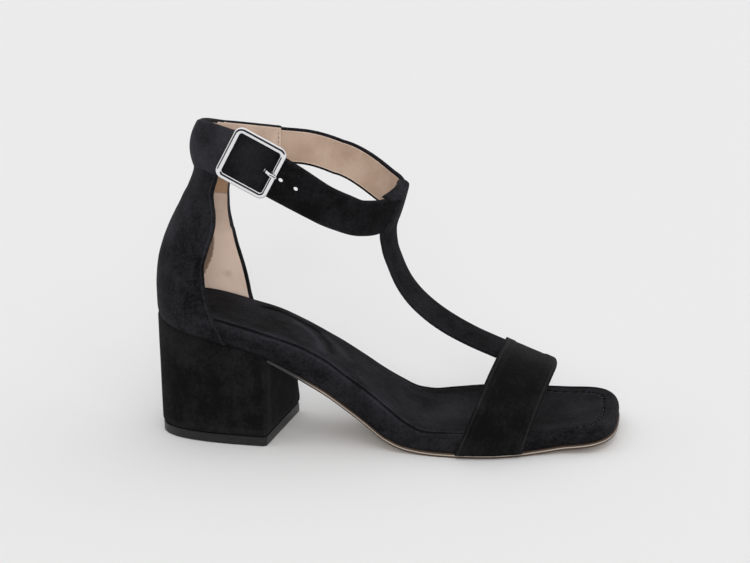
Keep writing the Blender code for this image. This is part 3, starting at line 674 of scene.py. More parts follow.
# Padded footbed in suede, with a stitched channel round its top
archFold = [(54.4, 12.5), (67.8, 11.1), (78.0, 7.8), (85.6, 5.1), (91.6, -2.5), (95.2, -13.7)]
archRidge = [(74.0, 3.5), (81.9, -0.8), (88.3, -10.5), (91.3, -21.2)]
bedSet = {
    "underInset": 0.9,
    "underShares": (0.0, 0.45, 0.8, 0.95, 1.0),
    # inset and share of the height
    "sideRings": ((0.64, 0.04), (0.46, 0.12), (0.34, 0.24), (0.26, 0.38), (0.27, 0.47)),
    "edgeRound": 3.6,
    "edgeGap": 0.35,
    "edgeDrop": 0.2,
    "roundSteps": 19,
    "topGap": 0.3,
    "topStep": 0.36,
    "topReach": 11.6,
    "lidFirst": 0.94,
    "lidSteps": 17,
    "settle": (4.0, 4.0),  # where the edge's drop starts to fade, and over which length
    "sideFrom": 6,  # first ring with a wavy side
    "topFrom": 13,  # first ring with creases
    "sideWaves": ((0.16, 22.0), (0.07, 7.0)),
    "topWaves": ((0.10, 16.0), (0.06, 6.0)),
    "channelWide": 0.55,
    "lipHigh": 0.32,
    "lipAway": 2.1,
    "padHigh": 0.5,
    "padRise": 3.2,
    "innerLip": (0.55, 1.0, 0.42),  # painted highlight along the lips: amount, place and width
    "outerLip": (0.34, -1.05, 0.40),
    # painted shade down in the groove: how dark, how much less under a pale lip, and its width
    "grooveDark": (0.62, 0.40, 0.55),
    "sideWorn": 0.05,
    "topWorn": 0.02,
    "topClouds": (0.10, 30.0),
    "topLumps": ((0.12, 11.0),),
    "channel": rowsOf("lap inset deep pale", [
        (0.0, 2.2, 0.48, 0.6), (0.12, 1.8, 0.44, 0.65), (0.42, 1.8, 0.44, 0.65), (0.6, 2.0, 0.50, 0.6),
        (0.68, 3.1, 0.60, 0.6), (0.76, 3.5, 0.64, 0.5), (1.0, 3.9, 0.70, 0.35), (1.15, 5.4, 0.70, 0.3),
        (1.3, 7.6, 0.75, 0.3), (1.45, 7.7, 0.80, 0.3), (1.6, 8.4, 0.90, 0.3), (1.75, 9.6, 0.95, 0.3),
        (1.88, 10.2, 1.0, 0.4), (2.0, 10.4, 1.0, 0.5), (2.12, 9.0, 0.95, 0.5), (2.3, 5.6, 0.80, 0.6),
        (2.4, 4.2, 0.66, 0.6), (2.6, 3.0, 0.62, 0.6), (3.0, 2.6, 0.62, 0.6), (4.0, 2.2, 0.62, 0.6),
    ]),
    "stitchLaps": (1.02, 2.09),
    "stitchPitch": 4.4,
    "stitchLong": 2.5,
    "threadLift": 0.14,
    "scallop": 0.9,
    "scallopFrom": (1.0, 0.2),
    "puckerHigh": 0.6,
    # painted highlight and shade: the puckers turn paler where they rise and darker where the thread
    # pulls them in
    "puckerPale": 0.45,
    "puckerWide": 1.1,
    "creases": [
        {"line": archFold, "width": 1.7, "depth": -0.75},
        {"line": archRidge, "width": 2.2, "depth": 0.35},
        {"line": [(79.0, 11.5), (87.0, 8.0), (95.0, 0.0)], "width": 1.6, "depth": -0.22},
        {"line": [(52.0, -22.5), (70.0, -23.0), (90.0, -23.5), (106.0, -24.5)],
         "width": 2.0, "depth": -0.28},
        {"line": [(120.0, -26.0), (132.0, -29.0), (142.0, -33.0)], "width": 2.2, "depth": -0.26},
        {"line": [(134.0, -24.0), (138.0, -4.0), (135.0, 14.0)], "width": 3.4, "depth": -0.30},
        {"line": [(146.0, -28.0), (149.0, -6.0), (147.0, 18.0)], "width": 3.0, "depth": -0.22},
        {"line": [(226.0, -18.0), (230.0, 2.0), (226.0, 18.0)], "width": 3.5, "depth": -0.15},
    ],
    # painted highlight along the arch's ridges, painted shade in its folds and beside the rims, and a few
    # paler and darker nap patches
    "napAndCreaseShading": [
        {"line": archRidge, "width": 2.0, "depth": 0.50},
        {"line": [(88.0, 5.2), (95.9, 0.3), (101.6, -6.6)], "width": 3.0, "depth": 0.36},
        {"line": archFold, "width": 1.6, "depth": -0.40},
        {"line": [(40.0, -6.0), (60.0, -8.0)], "width": 13.0, "depth": -0.22},
        {"line": [(150.0, -14.0), (167.0, -8.0)], "width": 11.0, "depth": 0.22},
        {"line": [(138.0, 20.0), (160.0, 26.0), (182.0, 28.0)], "width": 5.0, "depth": -0.22},
        {"line": [(205.0, -40.0), (225.0, -40.0), (246.0, -30.0)], "width": 6.0, "depth": -0.20},
    ],
}


def channelShape(gap, deep, pale):
    # the sewn groove with a lip on both sides, and the padding that rises behind it
    wide = bedSet["channelWide"]
    away = bedSet["lipAway"] * wide
    lips = bell(gap, 1.0, away, wide) + bell(gap, 1.0, -away, wide)
    shape = bedSet["lipHigh"] * pale * lips - bell(gap, deep, 0.0, wide)
    return shape, ramp(gap, bedSet["padHigh"], 0.0, bedSet["padRise"])


def channelMark(gap, pale):
    # painted highlight along both lips, painted shade down in the groove
    most, less, wide = bedSet["grooveDark"]
    lips = bell(gap, *bedSet["innerLip"]) + bell(gap, *bedSet["outerLip"])
    return pale * lips - bell(gap, most - less * pale, 0.0, wide)


def makeFootbed():
    edge, spine, lap = soleOutline()
    size = len(edge)
    outward = outwardOf(edge)
    rim = bedTop(edge)
    floor = soleUnder(edge)
    inset, deep, pale = [along(bedSet["channel"], "lap", name, lap) for name in ("inset", "deep", "pale")]
    sewn = (lap > bedSet["stitchLaps"][0]) & (lap < bedSet["stitchLaps"][1])
    pucker = np.where(sewn, np.sin(2.0 * math.pi * runOf(edge) / bedSet["stitchPitch"]), 0.0)
    groove = inset + 0.5 * bedSet["scallop"] * pucker * ramp(lap, 1.0, *bedSet["scallopFrom"])
    radius = bedSet["edgeRound"]
    rings = lidRings(spine, insetLine(edge, bedSet["underInset"]), bedSet["underShares"], soleUnder)
    for distance, share in bedSet["sideRings"]:
        rings.append(stack(insetLine(edge, distance), floor + (rim - floor) * share))
    marks = [np.zeros(size)] * len(rings)
    aside = stack(outward, 0.0)
    for a in np.radians(np.linspace(0.0, 90.0, bedSet["roundSteps"])):
        distance = bedSet["edgeGap"] + radius * (1.0 - math.cos(a))
        gap = distance - groove
        shape, pad = channelShape(gap, deep, pale)
        ring = stack(insetLine(edge, distance), rim - radius * (1.0 - math.sin(a)) - bedSet["edgeDrop"])
        ring = ring + (aside * math.cos(a) + upright * math.sin(a)) * shape[:, None]
        rings.append(ring + upright * pad[:, None])
        marks.append(bedSet["sideWorn"] + channelMark(gap, pale))
    first = bedSet["edgeGap"] + radius + bedSet["topGap"]
    for distance in np.arange(first, bedSet["topReach"], bedSet["topStep"]):
        line = insetLine(edge, distance)
        gap = distance - groove
        shape, pad = channelShape(gap, deep, pale)
        pull = bell(gap, pucker, 0.0, bedSet["puckerWide"])
        drop = bedSet["edgeDrop"] - ramp(distance, bedSet["edgeDrop"], *bedSet["settle"])
        rings.append(stack(line, bedTop(line) - drop + shape + bedSet["puckerHigh"] * pull + pad))
        marks.append(bedSet["topWorn"] + channelMark(gap, pale) + bedSet["puckerPale"] * pull)
    shares = np.linspace(bedSet["lidFirst"], 0.0, bedSet["lidSteps"])
    lid = lidRings(spine, line, shares, lambda plan: bedTop(plan) + bedSet["padHigh"])
    rings += lid
    marks += [np.full(size, bedSet["topWorn"])] * len(lid)

    points = np.vstack(rings)
    index = np.repeat(np.arange(len(rings)), size)
    top = index >= bedSet["topFrom"]
    side = (index >= bedSet["sideFrom"]) & (index < bedSet["topFrom"])
    dent = creaseDepth(points[:, :2], bedSet["creases"]) + waves(points, bedSet["topWaves"], seed=3)
    points[:, 2] += np.where(top, dent, 0.0)
    swell = np.where(side, waves(points, bedSet["sideWaves"], seed=5), 0.0)
    points[:, :2] += np.tile(outward, (len(rings), 1)) * swell[:, None]
    worn = np.concatenate(marks) + creaseDepth(points[:, :2], bedSet["napAndCreaseShading"])
    cloud = clouds(points, *bedSet["topClouds"], seed=7) + waves(points, bedSet["topLumps"], seed=9)
    worn = worn + np.where(top, cloud, 0.0)
    faces = ringFaces(len(rings), size)
    piece = makePiece("footbedSuede", points, faces, [suede["suedeBed"]], worn=worn, sharp=70.0)
    dress(piece, "footbed", "footbed")

    # the thread's path down in the groove
    plan = insetLine(edge, inset)[sewn]
    under = np.maximum(radius + bedSet["edgeGap"] - inset[sewn], 0.0)
    drop = radius - np.sqrt(radius ** 2 - under ** 2)
    return stack(plan, bedTop(plan) - deep[sewn] + bedSet["threadLift"] - drop)


bedSeam = makeFootbed()
print("footbed built")

# Thread in short sunk stitches
threadSet = {
    "radius": 0.26,
    "sides": 8,
    "rings": 7,
    "tipThick": 0.25,
    "bow": 0.16,
    "sink": 0.02,
}


def stitchPiece(name, path, normals, pitch, length, material):
    # one bowed capsule for each stitch along a path
    run = runOf(path)
    sides = threadSet["sides"]
    angle = circleOf(sides)
    shares = np.linspace(0.0, 1.0, threadSet["rings"])
    capsule = ringFaces(len(shares), sides, True)
    rings = []
    faces = []
    for start in np.arange(0.5 * pitch, run[-1] - 0.5 * pitch, pitch):
        at = start + length * (shares - 0.5)
        line = np.column_stack([np.interp(at, run, path[:, k]) for k in range(3)])
        normal = unit(np.array([np.interp(start, run, normals[:, k]) for k in range(3)]))
        across = unit(np.cross(normal, unit(line[-1] - line[0])))
        first = len(rings) * sides
        for share, place in zip(shares, line):
            swell = math.sqrt(max(0.0, 1.0 - (2.0 * share - 1.0) ** 2))
            thick = threadSet["radius"] * (threadSet["tipThick"] + (1.0 - threadSet["tipThick"]) * swell)
            lift = threadSet["bow"] * swell - threadSet["sink"] + thick * np.sin(angle)
            rings.append(place + np.outer(lift, normal) + np.outer(thick * np.cos(angle), across))
        faces += [tuple(first + i for i in face) for face in capsule]
    return makePiece(name, np.vstack(rings), faces, [material], sharp=70.0)


bedStitches = stitchPiece("footbedStitches", bedSeam, np.tile(upright, (len(bedSeam), 1)),
                          bedSet["stitchPitch"], bedSet["stitchLong"], flat["threadDark"])
dress(bedStitches, "footbed")
print("footbed stitches sewn")

# Outsole: cream edge, brown lower corner and tan underside
outsoleSet = {
    "thick": 2.2,
    "start": (64.2, 69.2),
    "thinFrom": 40.0,
    "thinOver": 45.0,
    "thinLeast": 0.4,
    "darkOver": (76.0, 18.0),
    "underShares": (0.0, 0.3, 0.6, 0.85),
    "topShares": (0.92, 0.6, 0.0),
    # inset, share of the thickness, and material: 0 cream, 1 brown, 2 tan
    "profile": ((1.2, 1.0, 2), (0.5, 1.0, 1), (0.18, 0.93, 1), (0.02, 0.82, 1), (0.0, 0.50, 0),
                (0.0, 0.38, 0), (0.02, 0.27, 1), (0.12, 0.07, 1), (0.35, 0.0, 1)),
}


def outsoleTop(points):
    return soleUnder(points) - shoe["gap"]


def outsoleLevel(points, share=1.0):
    # height inside the outsole: share 0 is its top, 1 its underside
    thin = (points[:, 0] - outsoleSet["thinFrom"]) / outsoleSet["thinOver"]
    thick = outsoleSet["thick"] * np.clip(thin, outsoleSet["thinLeast"], 1.0)
    return outsoleTop(points) - share * thick


def makeOutsole():
    edge, spine, _ = soleOutline(outsoleSet["start"])
    rings = lidRings(spine, edge, outsoleSet["underShares"], outsoleLevel)
    kinds = [2] * len(rings)
    for distance, share, kind in outsoleSet["profile"]:
        rings.append(stack(insetLine(edge, distance), outsoleLevel(edge, share)))
        kinds.append(kind)
    lid = lidRings(spine, edge, outsoleSet["topShares"], outsoleTop)
    rings += lid
    kinds += [0] * len(lid)
    dark = 1.0 - ramp(np.vstack(rings)[:, 0], 1.0, *outsoleSet["darkOver"])
    materials = [flat["edgeCream"], flat["edgeBrown"], flat["underTan"]]
    piece = ringPiece("outsoleTan", rings, materials, faceMaterial=np.repeat(kinds[:-1], len(edge)),
                      worn=dark, sharp=40.0)
    dress(piece, "outsole", "outsole")


makeOutsole()
print("outsole built")

# Block heel in suede and its lift; level 0 is the heel's foot, 1 its top
heelSet = {
    "square": 2.9,
    "corner": 2.4,
    "flare": 3.6,
    "flareFrom": (9.0, 12.0, 35.0),  # degrees round the inner back
    "backSteps": 97,
    "cornerSteps": 7,
    "breastSteps": 15,
    "coverSteps": 27,
    "coverTop": 1.5,
    "liftHigh": 5.2,
    "liftInset": 0.4,
    "rows": rowsOf("level lateralStation lateral medialStation medial tipStation tip", [
        (0.0, 63.0, -35.2, 70.8, 23.2, 2.2, 1.0),
        (1.0, 63.6, -33.4, 68.6, 20.9, 2.0, 0.0),
    ]),
    # inset and height of the rings round the lift and the cover's two rolled edges
    "liftRings": ((3.7, 0.0), (1.4, 0.0), (0.8, 0.08), (0.5, 0.3), (0.4, 0.7), (0.4, 1.6), (0.42, 2.6),
                  (0.4, 3.6), (0.4, 4.7), (0.5, 5.05), (0.9, 5.2), (3.7, 5.2)),
    "lowRings": ((4.0, 0.0), (1.5, 0.0), (0.9, 0.12), (0.5, 0.4), (0.22, 0.9), (0.06, 1.7), (0.0, 3.0)),
    "highRings": ((0.12, 0.9), (0.4, 0.4), (0.85, 0.12), (1.4, 0.0), (3.0, 0.0)),
    "lidShares": (0.66, 0.33, 0.0),
    "rollWorn": 0.10,
    "cornerWorn": (0.16, 0.0, 1.6),
    # painted sheen: a pale streak down the breast near its outer corner
    "breastSheen": (0.24, 5.5, 2.6),
    "backWorn": (0.12, 30.0, 25.0),
    "backEnd": (48.0, 30.0),
    "waves": ((0.07, 14.0),),
}


def heelCorner(name, level):
    rows = heelSet["rows"]
    return np.array([float(along(rows, "level", column, level)) for column in (name + "Station", name)])


def heelPlan(inset, level):
    # half superellipse round the back, two rounded corners and the straight breast
    lateral = heelCorner("lateral", level)
    medial = heelCorner("medial", level)
    middle = 0.5 * (lateral + medial)
    half = 0.5 * np.linalg.norm(medial - lateral) - inset
    side = unit(medial - lateral)
    back = heelCorner("tip", level) - middle
    reach = (np.linalg.norm(back) - inset) * unit(back)
    degrees = np.linspace(90.0, -90.0, heelSet["backSteps"])
    turn = np.radians(degrees)
    power = 2.0 / heelSet["square"]
    curve = middle + np.outer(half * signedPower(np.sin(turn), power), side)
    curve = curve + np.outer(np.cos(turn) ** power, reach)
    soft, first, length = heelSet["flareFrom"]
    flare = heelSet["flare"] * level * ease((90.0 - degrees) / soft) * ramp(degrees, 1.0, first, length)
    curve = curve + np.outer(flare, side)
    forward = np.array((side[1], -side[0])) * inset
    t = np.linspace(0.0, 1.0, heelSet["cornerSteps"])[:, None]
    arcs = []
    for way in (-1.0, 1.0):
        corner = middle - way * half * side - forward
        a = corner + unit(back) * heelSet["corner"]
        b = corner + side * way * heelSet["corner"]
        arcs.append((1 - t) ** 2 * a + 2 * t * (1 - t) * corner + t * t * b)
    share = np.linspace(0.0, 1.0, heelSet["breastSteps"])[1:-1, None]
    breast = arcs[1][-1] * (1.0 - share) + arcs[0][-1] * share
    return np.vstack((curve[1:-1], arcs[1], breast, arcs[0][::-1]))


def makeHeel():
    centre = heelPlan(heelSet["liftInset"], 0.0).mean(axis=0)
    size = len(heelPlan(0.0, 0.0))
    middle = np.tile(centre, (size, 1))
    high = heelSet["liftHigh"]
    rings = [stack(middle, 0.0)]
    rings += [stack(heelPlan(inset, 0.0), z) for inset, z in heelSet["liftRings"]]
    rings.append(stack(middle, high))
    piece = ringPiece("topLiftSatin", rings, [flat["liftSatin"]], sharp=50.0)
    dress(piece, "top_lift", "top_lift")

    floor = high + shoe["gap"]
    rings = [stack(middle, floor)]
    rings += [stack(heelPlan(inset, 0.0), floor + z) for inset, z in heelSet["lowRings"]]
    rolled = [inset < 1.0 for inset, _ in heelSet["lowRings"]]
    low = floor + heelSet["lowRings"][-1][1]
    roof = outsoleTop(heelPlan(0.0, 1.0)) - heelSet["coverTop"]
    for share in np.linspace(0.0, 1.0, heelSet["coverSteps"])[1:]:
        rings.append(stack(heelPlan(0.0, share), low + (roof - low) * share))
    for inset, z in heelSet["highRings"]:
        brim = heelPlan(inset, 1.0)
        rings.append(stack(brim, outsoleTop(brim) - z))
    rings += lidRings(centre, brim, heelSet["lidShares"], outsoleTop)

    points = np.vstack(rings)
    worn = np.zeros((len(rings), size))
    worn[1:1 + len(rolled)] += heelSet["rollWorn"] * np.array(rolled)[:, None]
    plan = heelPlan(0.0, 0.5)
    lateral = heelCorner("lateral", 0.5)
    medial = heelCorner("medial", 0.5)
    for corner in (lateral, medial):
        worn += bell(np.linalg.norm(plan - corner, axis=1), *heelSet["cornerWorn"])
    inward = (plan - lateral) @ unit(medial - lateral)
    worn += np.where(plan[:, 0] > lateral[0] - 1.0, bell(inward, *heelSet["breastSheen"]), 0.0)
    last, length = heelSet["backEnd"]
    back = ramp(points[:, 2], *heelSet["backWorn"]) * ease((last - points[:, 0]) / length)
    points[:, :2] += waves(points, heelSet["waves"], seed=8)[:, None] * unit(points[:, :2] - centre)
    piece = makePiece("heelCover", points, ringFaces(len(rings), size), [suede["suedeHeel"]],
                      worn=worn.ravel() + back)
    dress(piece, "heel_block", "heel_block")


makeHeel()
print("heel and lift built")


def gridNormals(grid):
    return unit(np.cross(np.gradient(grid, axis=0), np.gradient(grid, axis=1)))


# Walls of the upper's pieces
wallSet = {
    "edgeSteps": 5,  # rounds the free edge
    "turnedIn": 2,  # grid cells of suede folded to the inner side
}


def foldOf(fromEdge, piece):
    # 1 on the folded rim, 0 behind it
    return fade(fromEdge - piece["fold"], 1.0, piece["foldSoft"])


def softRise(points, fromEdge, piece, seed):
    # height of a suede face: waves that die out at the edge, and the folded rim
    wave = waves(points, piece["waves"], seed) * ease(fromEdge / piece["waveFrom"])
    return (wave + piece["foldHigh"] * foldOf(fromEdge, piece) + piece["faceLift"])[..., None]


def wallPiece(name, outer, inner, loop, suedeName, wornOuter, wornInner, bulge):
    # closed wall between two grids; suede outside and round the edge, lining inside
    rows, columns = outer.shape[:2]
    count = rows * columns
    bands = rows if loop else rows - 1
    number = np.arange(2 * count).reshape(2, rows, columns)
    follow = np.roll(number, -1, axis=1)
    corners = (number[:, :bands, :-1], follow[:, :bands, :-1],
               follow[:, :bands, 1:], number[:, :bands, 1:])
    quads = [np.stack(corners, axis=-1).reshape(-1, 4)]
    cell = np.arange(columns - 1)
    near = np.tile(np.minimum(cell, cell[::-1]), (bands, 1))
    if loop:
        borders = [[(i, j) for i in range(rows)] for j in (0, columns - 1)]
    else:
        band = np.arange(bands)
        near = np.minimum(near, np.minimum(band, band[::-1])[:, None])
        border = [(i, 0) for i in range(rows)] + [(rows - 1, j) for j in range(1, columns)]
        border += [(i, columns - 1) for i in range(rows - 2, -1, -1)]
        borders = [border + [(0, j) for j in range(columns - 2, 0, -1)]]
    lined = (near >= wallSet["turnedIn"]).ravel()
    points = [outer.reshape(-1, 3), inner.reshape(-1, 3)]
    worn = [wornOuter.ravel(), wornInner.ravel()]
    middle = 0.5 * (outer + inner)
    steps = wallSet["edgeSteps"]
    total = 2 * count
    for border in borders:
        i, j = np.array(border).T
        di = np.where(i == 0, 1, np.where(i == rows - 1, -1, 0)) * (0 if loop else 1)
        dj = np.where(j == 0, 1, np.where(j == columns - 1, -1, 0))
        edge = middle[i, j]
        across = outer[i, j] - inner[i, j]
        thick = np.linalg.norm(across, axis=1, keepdims=True)
        across = across / thick
        away = edge - middle[i + di, j + dj]
        away = unit(away - across * (away * across).sum(axis=1, keepdims=True))
        chain = [i * columns + j]
        for k in range(1, steps):
            a = math.pi * k / steps
            points.append(edge + across * 0.5 * thick * math.cos(a) + away * bulge * math.sin(a))
            worn.append(wornOuter[i, j])
            chain.append(total + np.arange(len(border)))
            total += len(border)
        chain.append(count + i * columns + j)
        for a, b in zip(chain[:-1], chain[1:]):
            quads.append(np.column_stack((a, np.roll(a, -1), np.roll(b, -1), b)))
    faces = np.vstack(quads)
    kinds = np.zeros(len(faces), int)
    kinds[len(lined):2 * len(lined)] = lined
    return makePiece(name, np.vstack(points), faces.tolist(), [suede[suedeName], liningTan], kinds,
                     np.concatenate(worn))


# Counter: the cup round the heel
counterSet = {
    "wall": 2.2,
    "bulge": 0.45,
    "around": 89,
    "upward": 56,
    "crowding": 0.5,
    "low": 56.0,  # first guess of the lower edge, which then finds the sole in a few rounds
    "lowRounds": 4,
    "lowLift": 0.55,
    "high": 147.0,
    "highDrop": {"frontLateral": 1.0, "frontMedial": 6.0},
    "straight": 3.0,  # degrees for each millimetre in front of the round part
    "fold": 2.6,
    "foldSoft": 0.9,
    "foldHigh": 0.22,
    "waves": ((0.16, 20.0), (0.07, 7.0)),
    "waveFrom": 3.0,
    "faceLift": 0.0,
    "liningWaves": ((0.05, 9.0),),
    # worn marks: the amount, then middle and width of a band or start and length of a slope
    "rimWorn": (0.30, 0.9, 0.5),
    "frontWorn": (-0.20, 0.0, 13.0),
    "backWorn": (0.16, 24.0, 12.0),
    "topWorn": (0.10, 100.0, 40.0),
    "cloudWorn": (0.14, 24.0),
    # lining: a browner neck, the casing's painted shadow along the top, a thumb mark and painted shade at
    # the back
    "plain": -0.11,
    "neck": (0.46, 94.0, 14.0),
    "casingShadow": (1.9, 121.6, 1.4),
    "casingShadowSlope": (0.25, 30.0),
    "thumbStation": (0.40, 32.8, 2.4),
    "thumbHeight": (1.0, 75.8, 1.6),
    "shadeEdge": (20.8, 0.29, 1.6),
    "shadeFrom": (75.0, 22.0),
    "shadeSoft": 1.6,
    "shadeTop": (104.0, 8.0),
    "shadeSide": (14.0, 8.0),
    "shade": 1.1,
    "rows": rowsOf("height back depth half middle frontLateral frontMedial", [
        (52, 4.8, 25.5, 28.1, -0.8, 44.2, 50.0),
        (62, 4.6, 25.7, 28.1, -0.8, 39.6, 45.6),
        (66, 3.9, 26.4, 28.1, -0.8, 37.6, 44.6),
        (70, 3.4, 26.9, 28.1, -0.8, 35.8, 44.0),
        (80, 3.45, 27.25, 27.9, -0.8, 33.3, 42.0),
        (86, 3.8, 27.9, 27.6, -0.7, 32.5, 40.4),
        (94, 5.0, 28.7, 27.1, -0.6, 32.2, 38.3),
        (103, 7.7, 29.3, 26.6, -0.5, 34.6, 36.6),
        (113, 12.1, 29.5, 26.2, -0.3, 38.2, 35.5),
        (118, 14.7, 29.7, 26.2, -0.25, 39.3, 35.7),
        (123, 17.5, 29.9, 26.2, -0.2, 39.5, 36.0),
        (128, 20.0, 30.0, 26.4, -0.1, 38.9, 36.9),
        (132, 22.4, 30.1, 26.6, 0.0, 38.6, 37.8),
        (144, 26.5, 30.2, 27.3, 0.0, 41.6, 41.0),
        (170, 27.0, 30.0, 27.3, 0.0, 42.0, 42.0),
    ]),
}


def counterColumn(name, height):
    return along(counterSet["rows"], "height", name, height)


def counterPoint(height, share, front):
    # share -1 is the lateral front edge, 0 the back and 1 the medial front edge
    depth = counterColumn("depth", height)
    centre = counterColumn("back", height) + depth
    ahead = centre - counterColumn(front, height)
    power = 2.0 / soleSet["heelSquare"]
    if ahead <= 0.0:
        turn = share * (90.0 - counterSet["straight"] * ahead)
    else:
        turn = share * math.degrees(math.acos((ahead / depth) ** (1.0 / power)))
    inside = math.radians(min(abs(turn), 90.0))
    station = centre - depth * math.cos(inside) ** power
    y = counterColumn("half", height) * math.sin(inside) ** power
    drift = 0.0
    if abs(turn) > 90.0:
        station = centre + (abs(turn) - 90.0) / counterSet["straight"]
        name = "lateral" if turn < 0.0 else "medial"
        drift = sole(name, station) - sole(name, centre)
    return np.array((station, counterColumn("middle", height) + math.copysign(y, turn) + drift, height))


def counterLining(grid):
    station, y, height = np.moveaxis(grid, -1, 0)
    lean, leanFrom = counterSet["casingShadowSlope"]
    worn = counterSet["plain"] + ramp(height, *counterSet["neck"])
    # painted shadow of the casing along the top of the lining
    worn = worn + ramp(height - lean * (leanFrom - station), *counterSet["casingShadow"])
    worn = worn + bell(station, *counterSet["thumbStation"]) * bell(height, *counterSet["thumbHeight"])
    start, slope, bow = counterSet["shadeEdge"]
    first, length = counterSet["shadeFrom"]
    rise = height - first
    edge = start + slope * rise + bow * np.sin(math.pi * np.clip(rise / length, 0.0, 1.0))
    top, soft = counterSet["shadeTop"]
    shaded = ease((edge - station) / counterSet["shadeSoft"]) * ease((top - height) / soft)
    shaded = shaded * ramp(y, 1.0, *counterSet["shadeSide"])
    return worn * (1.0 - shaded) - counterSet["shade"] * shaded


def makeCounter():
    shares = crowded(counterSet["around"], counterSet["crowding"])
    grid = np.zeros((len(shares), counterSet["upward"], 3))
    for i, share in enumerate(shares):
        front = "frontLateral" if share < 0.0 else "frontMedial"
        low = counterSet["low"]
        for _ in range(counterSet["lowRounds"]):
            low = sole("bottom", counterPoint(low, share, front)[0])
        low = low + counterSet["lowLift"]
        high = counterSet["high"] - counterSet["highDrop"][front] * abs(share)
        for j, rise in enumerate(np.linspace(0.0, 1.0, counterSet["upward"])):
            grid[i, j] = counterPoint(low + (high - low) * rise, share, front)
    normal = -gridNormals(grid)
    side = np.linalg.norm(np.diff(grid, axis=0), axis=2)
    run = np.concatenate((np.zeros((1, side.shape[1])), np.cumsum(side, axis=0)))
    fromEdge = np.minimum(run, run[-1] - run)
    outer = grid + normal * (counterSet["wall"] + softRise(grid, fromEdge, counterSet, seed=11))
    inner = grid + normal * waves(grid, counterSet["liningWaves"], seed=13)[..., None]
    worn = bell(fromEdge, *counterSet["rimWorn"]) + clouds(grid, *counterSet["cloudWorn"], seed=14)
    worn = worn + ramp(grid[..., 2], *counterSet["topWorn"])
    worn = worn + ramp(fromEdge, *counterSet["backWorn"]) + bell(fromEdge, *counterSet["frontWorn"])
    piece = wallPiece("counterSuede", outer, inner, False, "suedeUpper", worn, counterLining(grid),
                      counterSet["bulge"])
    dress(piece, "upper", "upper")


makeCounter()
print("counter built")

# Ankle strap; turn 0 is the front, 1 to 2 the outer side, 3 the back, 4 to 5 the inner side
strapSet = {
    "back": 26.3,
    "backCentre": 57.0,
    "frontCentre": 95.0,
    "front": 129.6,
    "half": 30.0,
    "square": 2.15,
    "skew": 0.3,
    "turns": 6.0,
    "sample": 0.02,  # half of the turn over which the strap's direction is taken
    "around": 240,
    "across": 27,
    "crowding": 0.38,
    "wall": 2.4,
    "bulge": 0.4,
    "innerBow": 0.9,
    "fold": 2.4,
    "foldSoft": 0.8,
    "foldHigh": 0.16,
    "waves": ((0.14, 18.0), (0.06, 6.0)),
    "waveFrom": 3.0,
    "faceLift": -0.06,
    "liningWaves": ((0.05, 8.0),),
    "rimWorn": (0.12, 1.6),
    "cloudWorn": (0.10, 24.0),
    # painted highlight on the strap where it runs through the buckle
    "buckleHighlight": (0.22, 1.95, 0.24),
    # painted shade: deepens the strap's lining, which lies in shade
    "shadedLining": 0.69,
    "liningClouds": (0.10, 14.0),
    "liningRim": (1.2, 0.1),
    "crown": rowsOf("turn rise", [
        (0.0, 0.0), (1.65, 0.0), (1.85, 1.4), (1.95, 2.0), (2.05, 1.9),
        (2.2, 1.5), (2.5, 1.0), (2.75, 0.6), (3.0, 0.0), (6.0, 0.0),
    ]),
    "rows": rowsOf("turn middle wide lean bow", [
        (0.0, 121.5, 18.6, -24.0, 0.3),
        (0.25, 118.4, 18.3, -14.0, 0.3),
        (0.5, 120.1, 18.1, -6.0, 0.3),
        (0.75, 125.1, 19.0, -2.0, 0.3),
        (1.0, 130.2, 19.8, 0.0, 0.3),
        (1.5, 141.5, 22.0, 0.0, 0.3),
        (2.0, 152.0, 22.6, 0.0, 0.3),
        (2.5, 157.2, 22.2, 6.0, 1.9),
        (3.0, 155.2, 22.0, 7.5, 2.8),
        (3.5, 150.2, 21.0, 6.0, 1.9),
        (4.0, 147.0, 19.4, 0.0, 0.3),
        (4.5, 145.8, 18.4, 0.0, 0.3),
        (5.0, 140.4, 18.6, 0.0, 0.3),
        (5.5, 125.6, 19.6, -6.0, 0.3),
        (6.0, 121.5, 18.6, -24.0, 0.3),
    ]),
    "holes": (1.72, 1.53, 1.33),
    "holeRound": 2.5,
    "holeSides": 28,
    "holeReach": 6.0,
    "holeSharp": 50.0,
}


def strapPlan(turn):
    power = 2.0 / strapSet["square"]
    turn = turn % strapSet["turns"]
    side = -1.0 if turn <= 3.0 else 1.0
    t = turn if turn <= 3.0 else strapSet["turns"] - turn
    half = strapSet["half"]
    front = strapSet["frontCentre"]
    back = strapSet["backCentre"]
    if t <= 1.0:
        a = math.radians(90.0 * t)
        y = side * half * math.sin(a)
        station = front + (strapSet["front"] - front) * math.cos(a)
        return station + strapSet["skew"] * y * math.cos(a), y
    if t <= 2.0:
        return front + (back - front) * (t - 1.0), side * half
    a = math.radians(90.0 * (3.0 - t))
    station = back - (back - strapSet["back"]) * math.cos(a) ** power
    return station, side * half * math.sin(a) ** power


def strapColumn(name, turn):
    return float(along(strapSet["rows"], "turn", name, turn % strapSet["turns"]))


def strapLine(turn):
    station, y = strapPlan(turn)
    return np.array((station, y, strapColumn("middle", turn)))


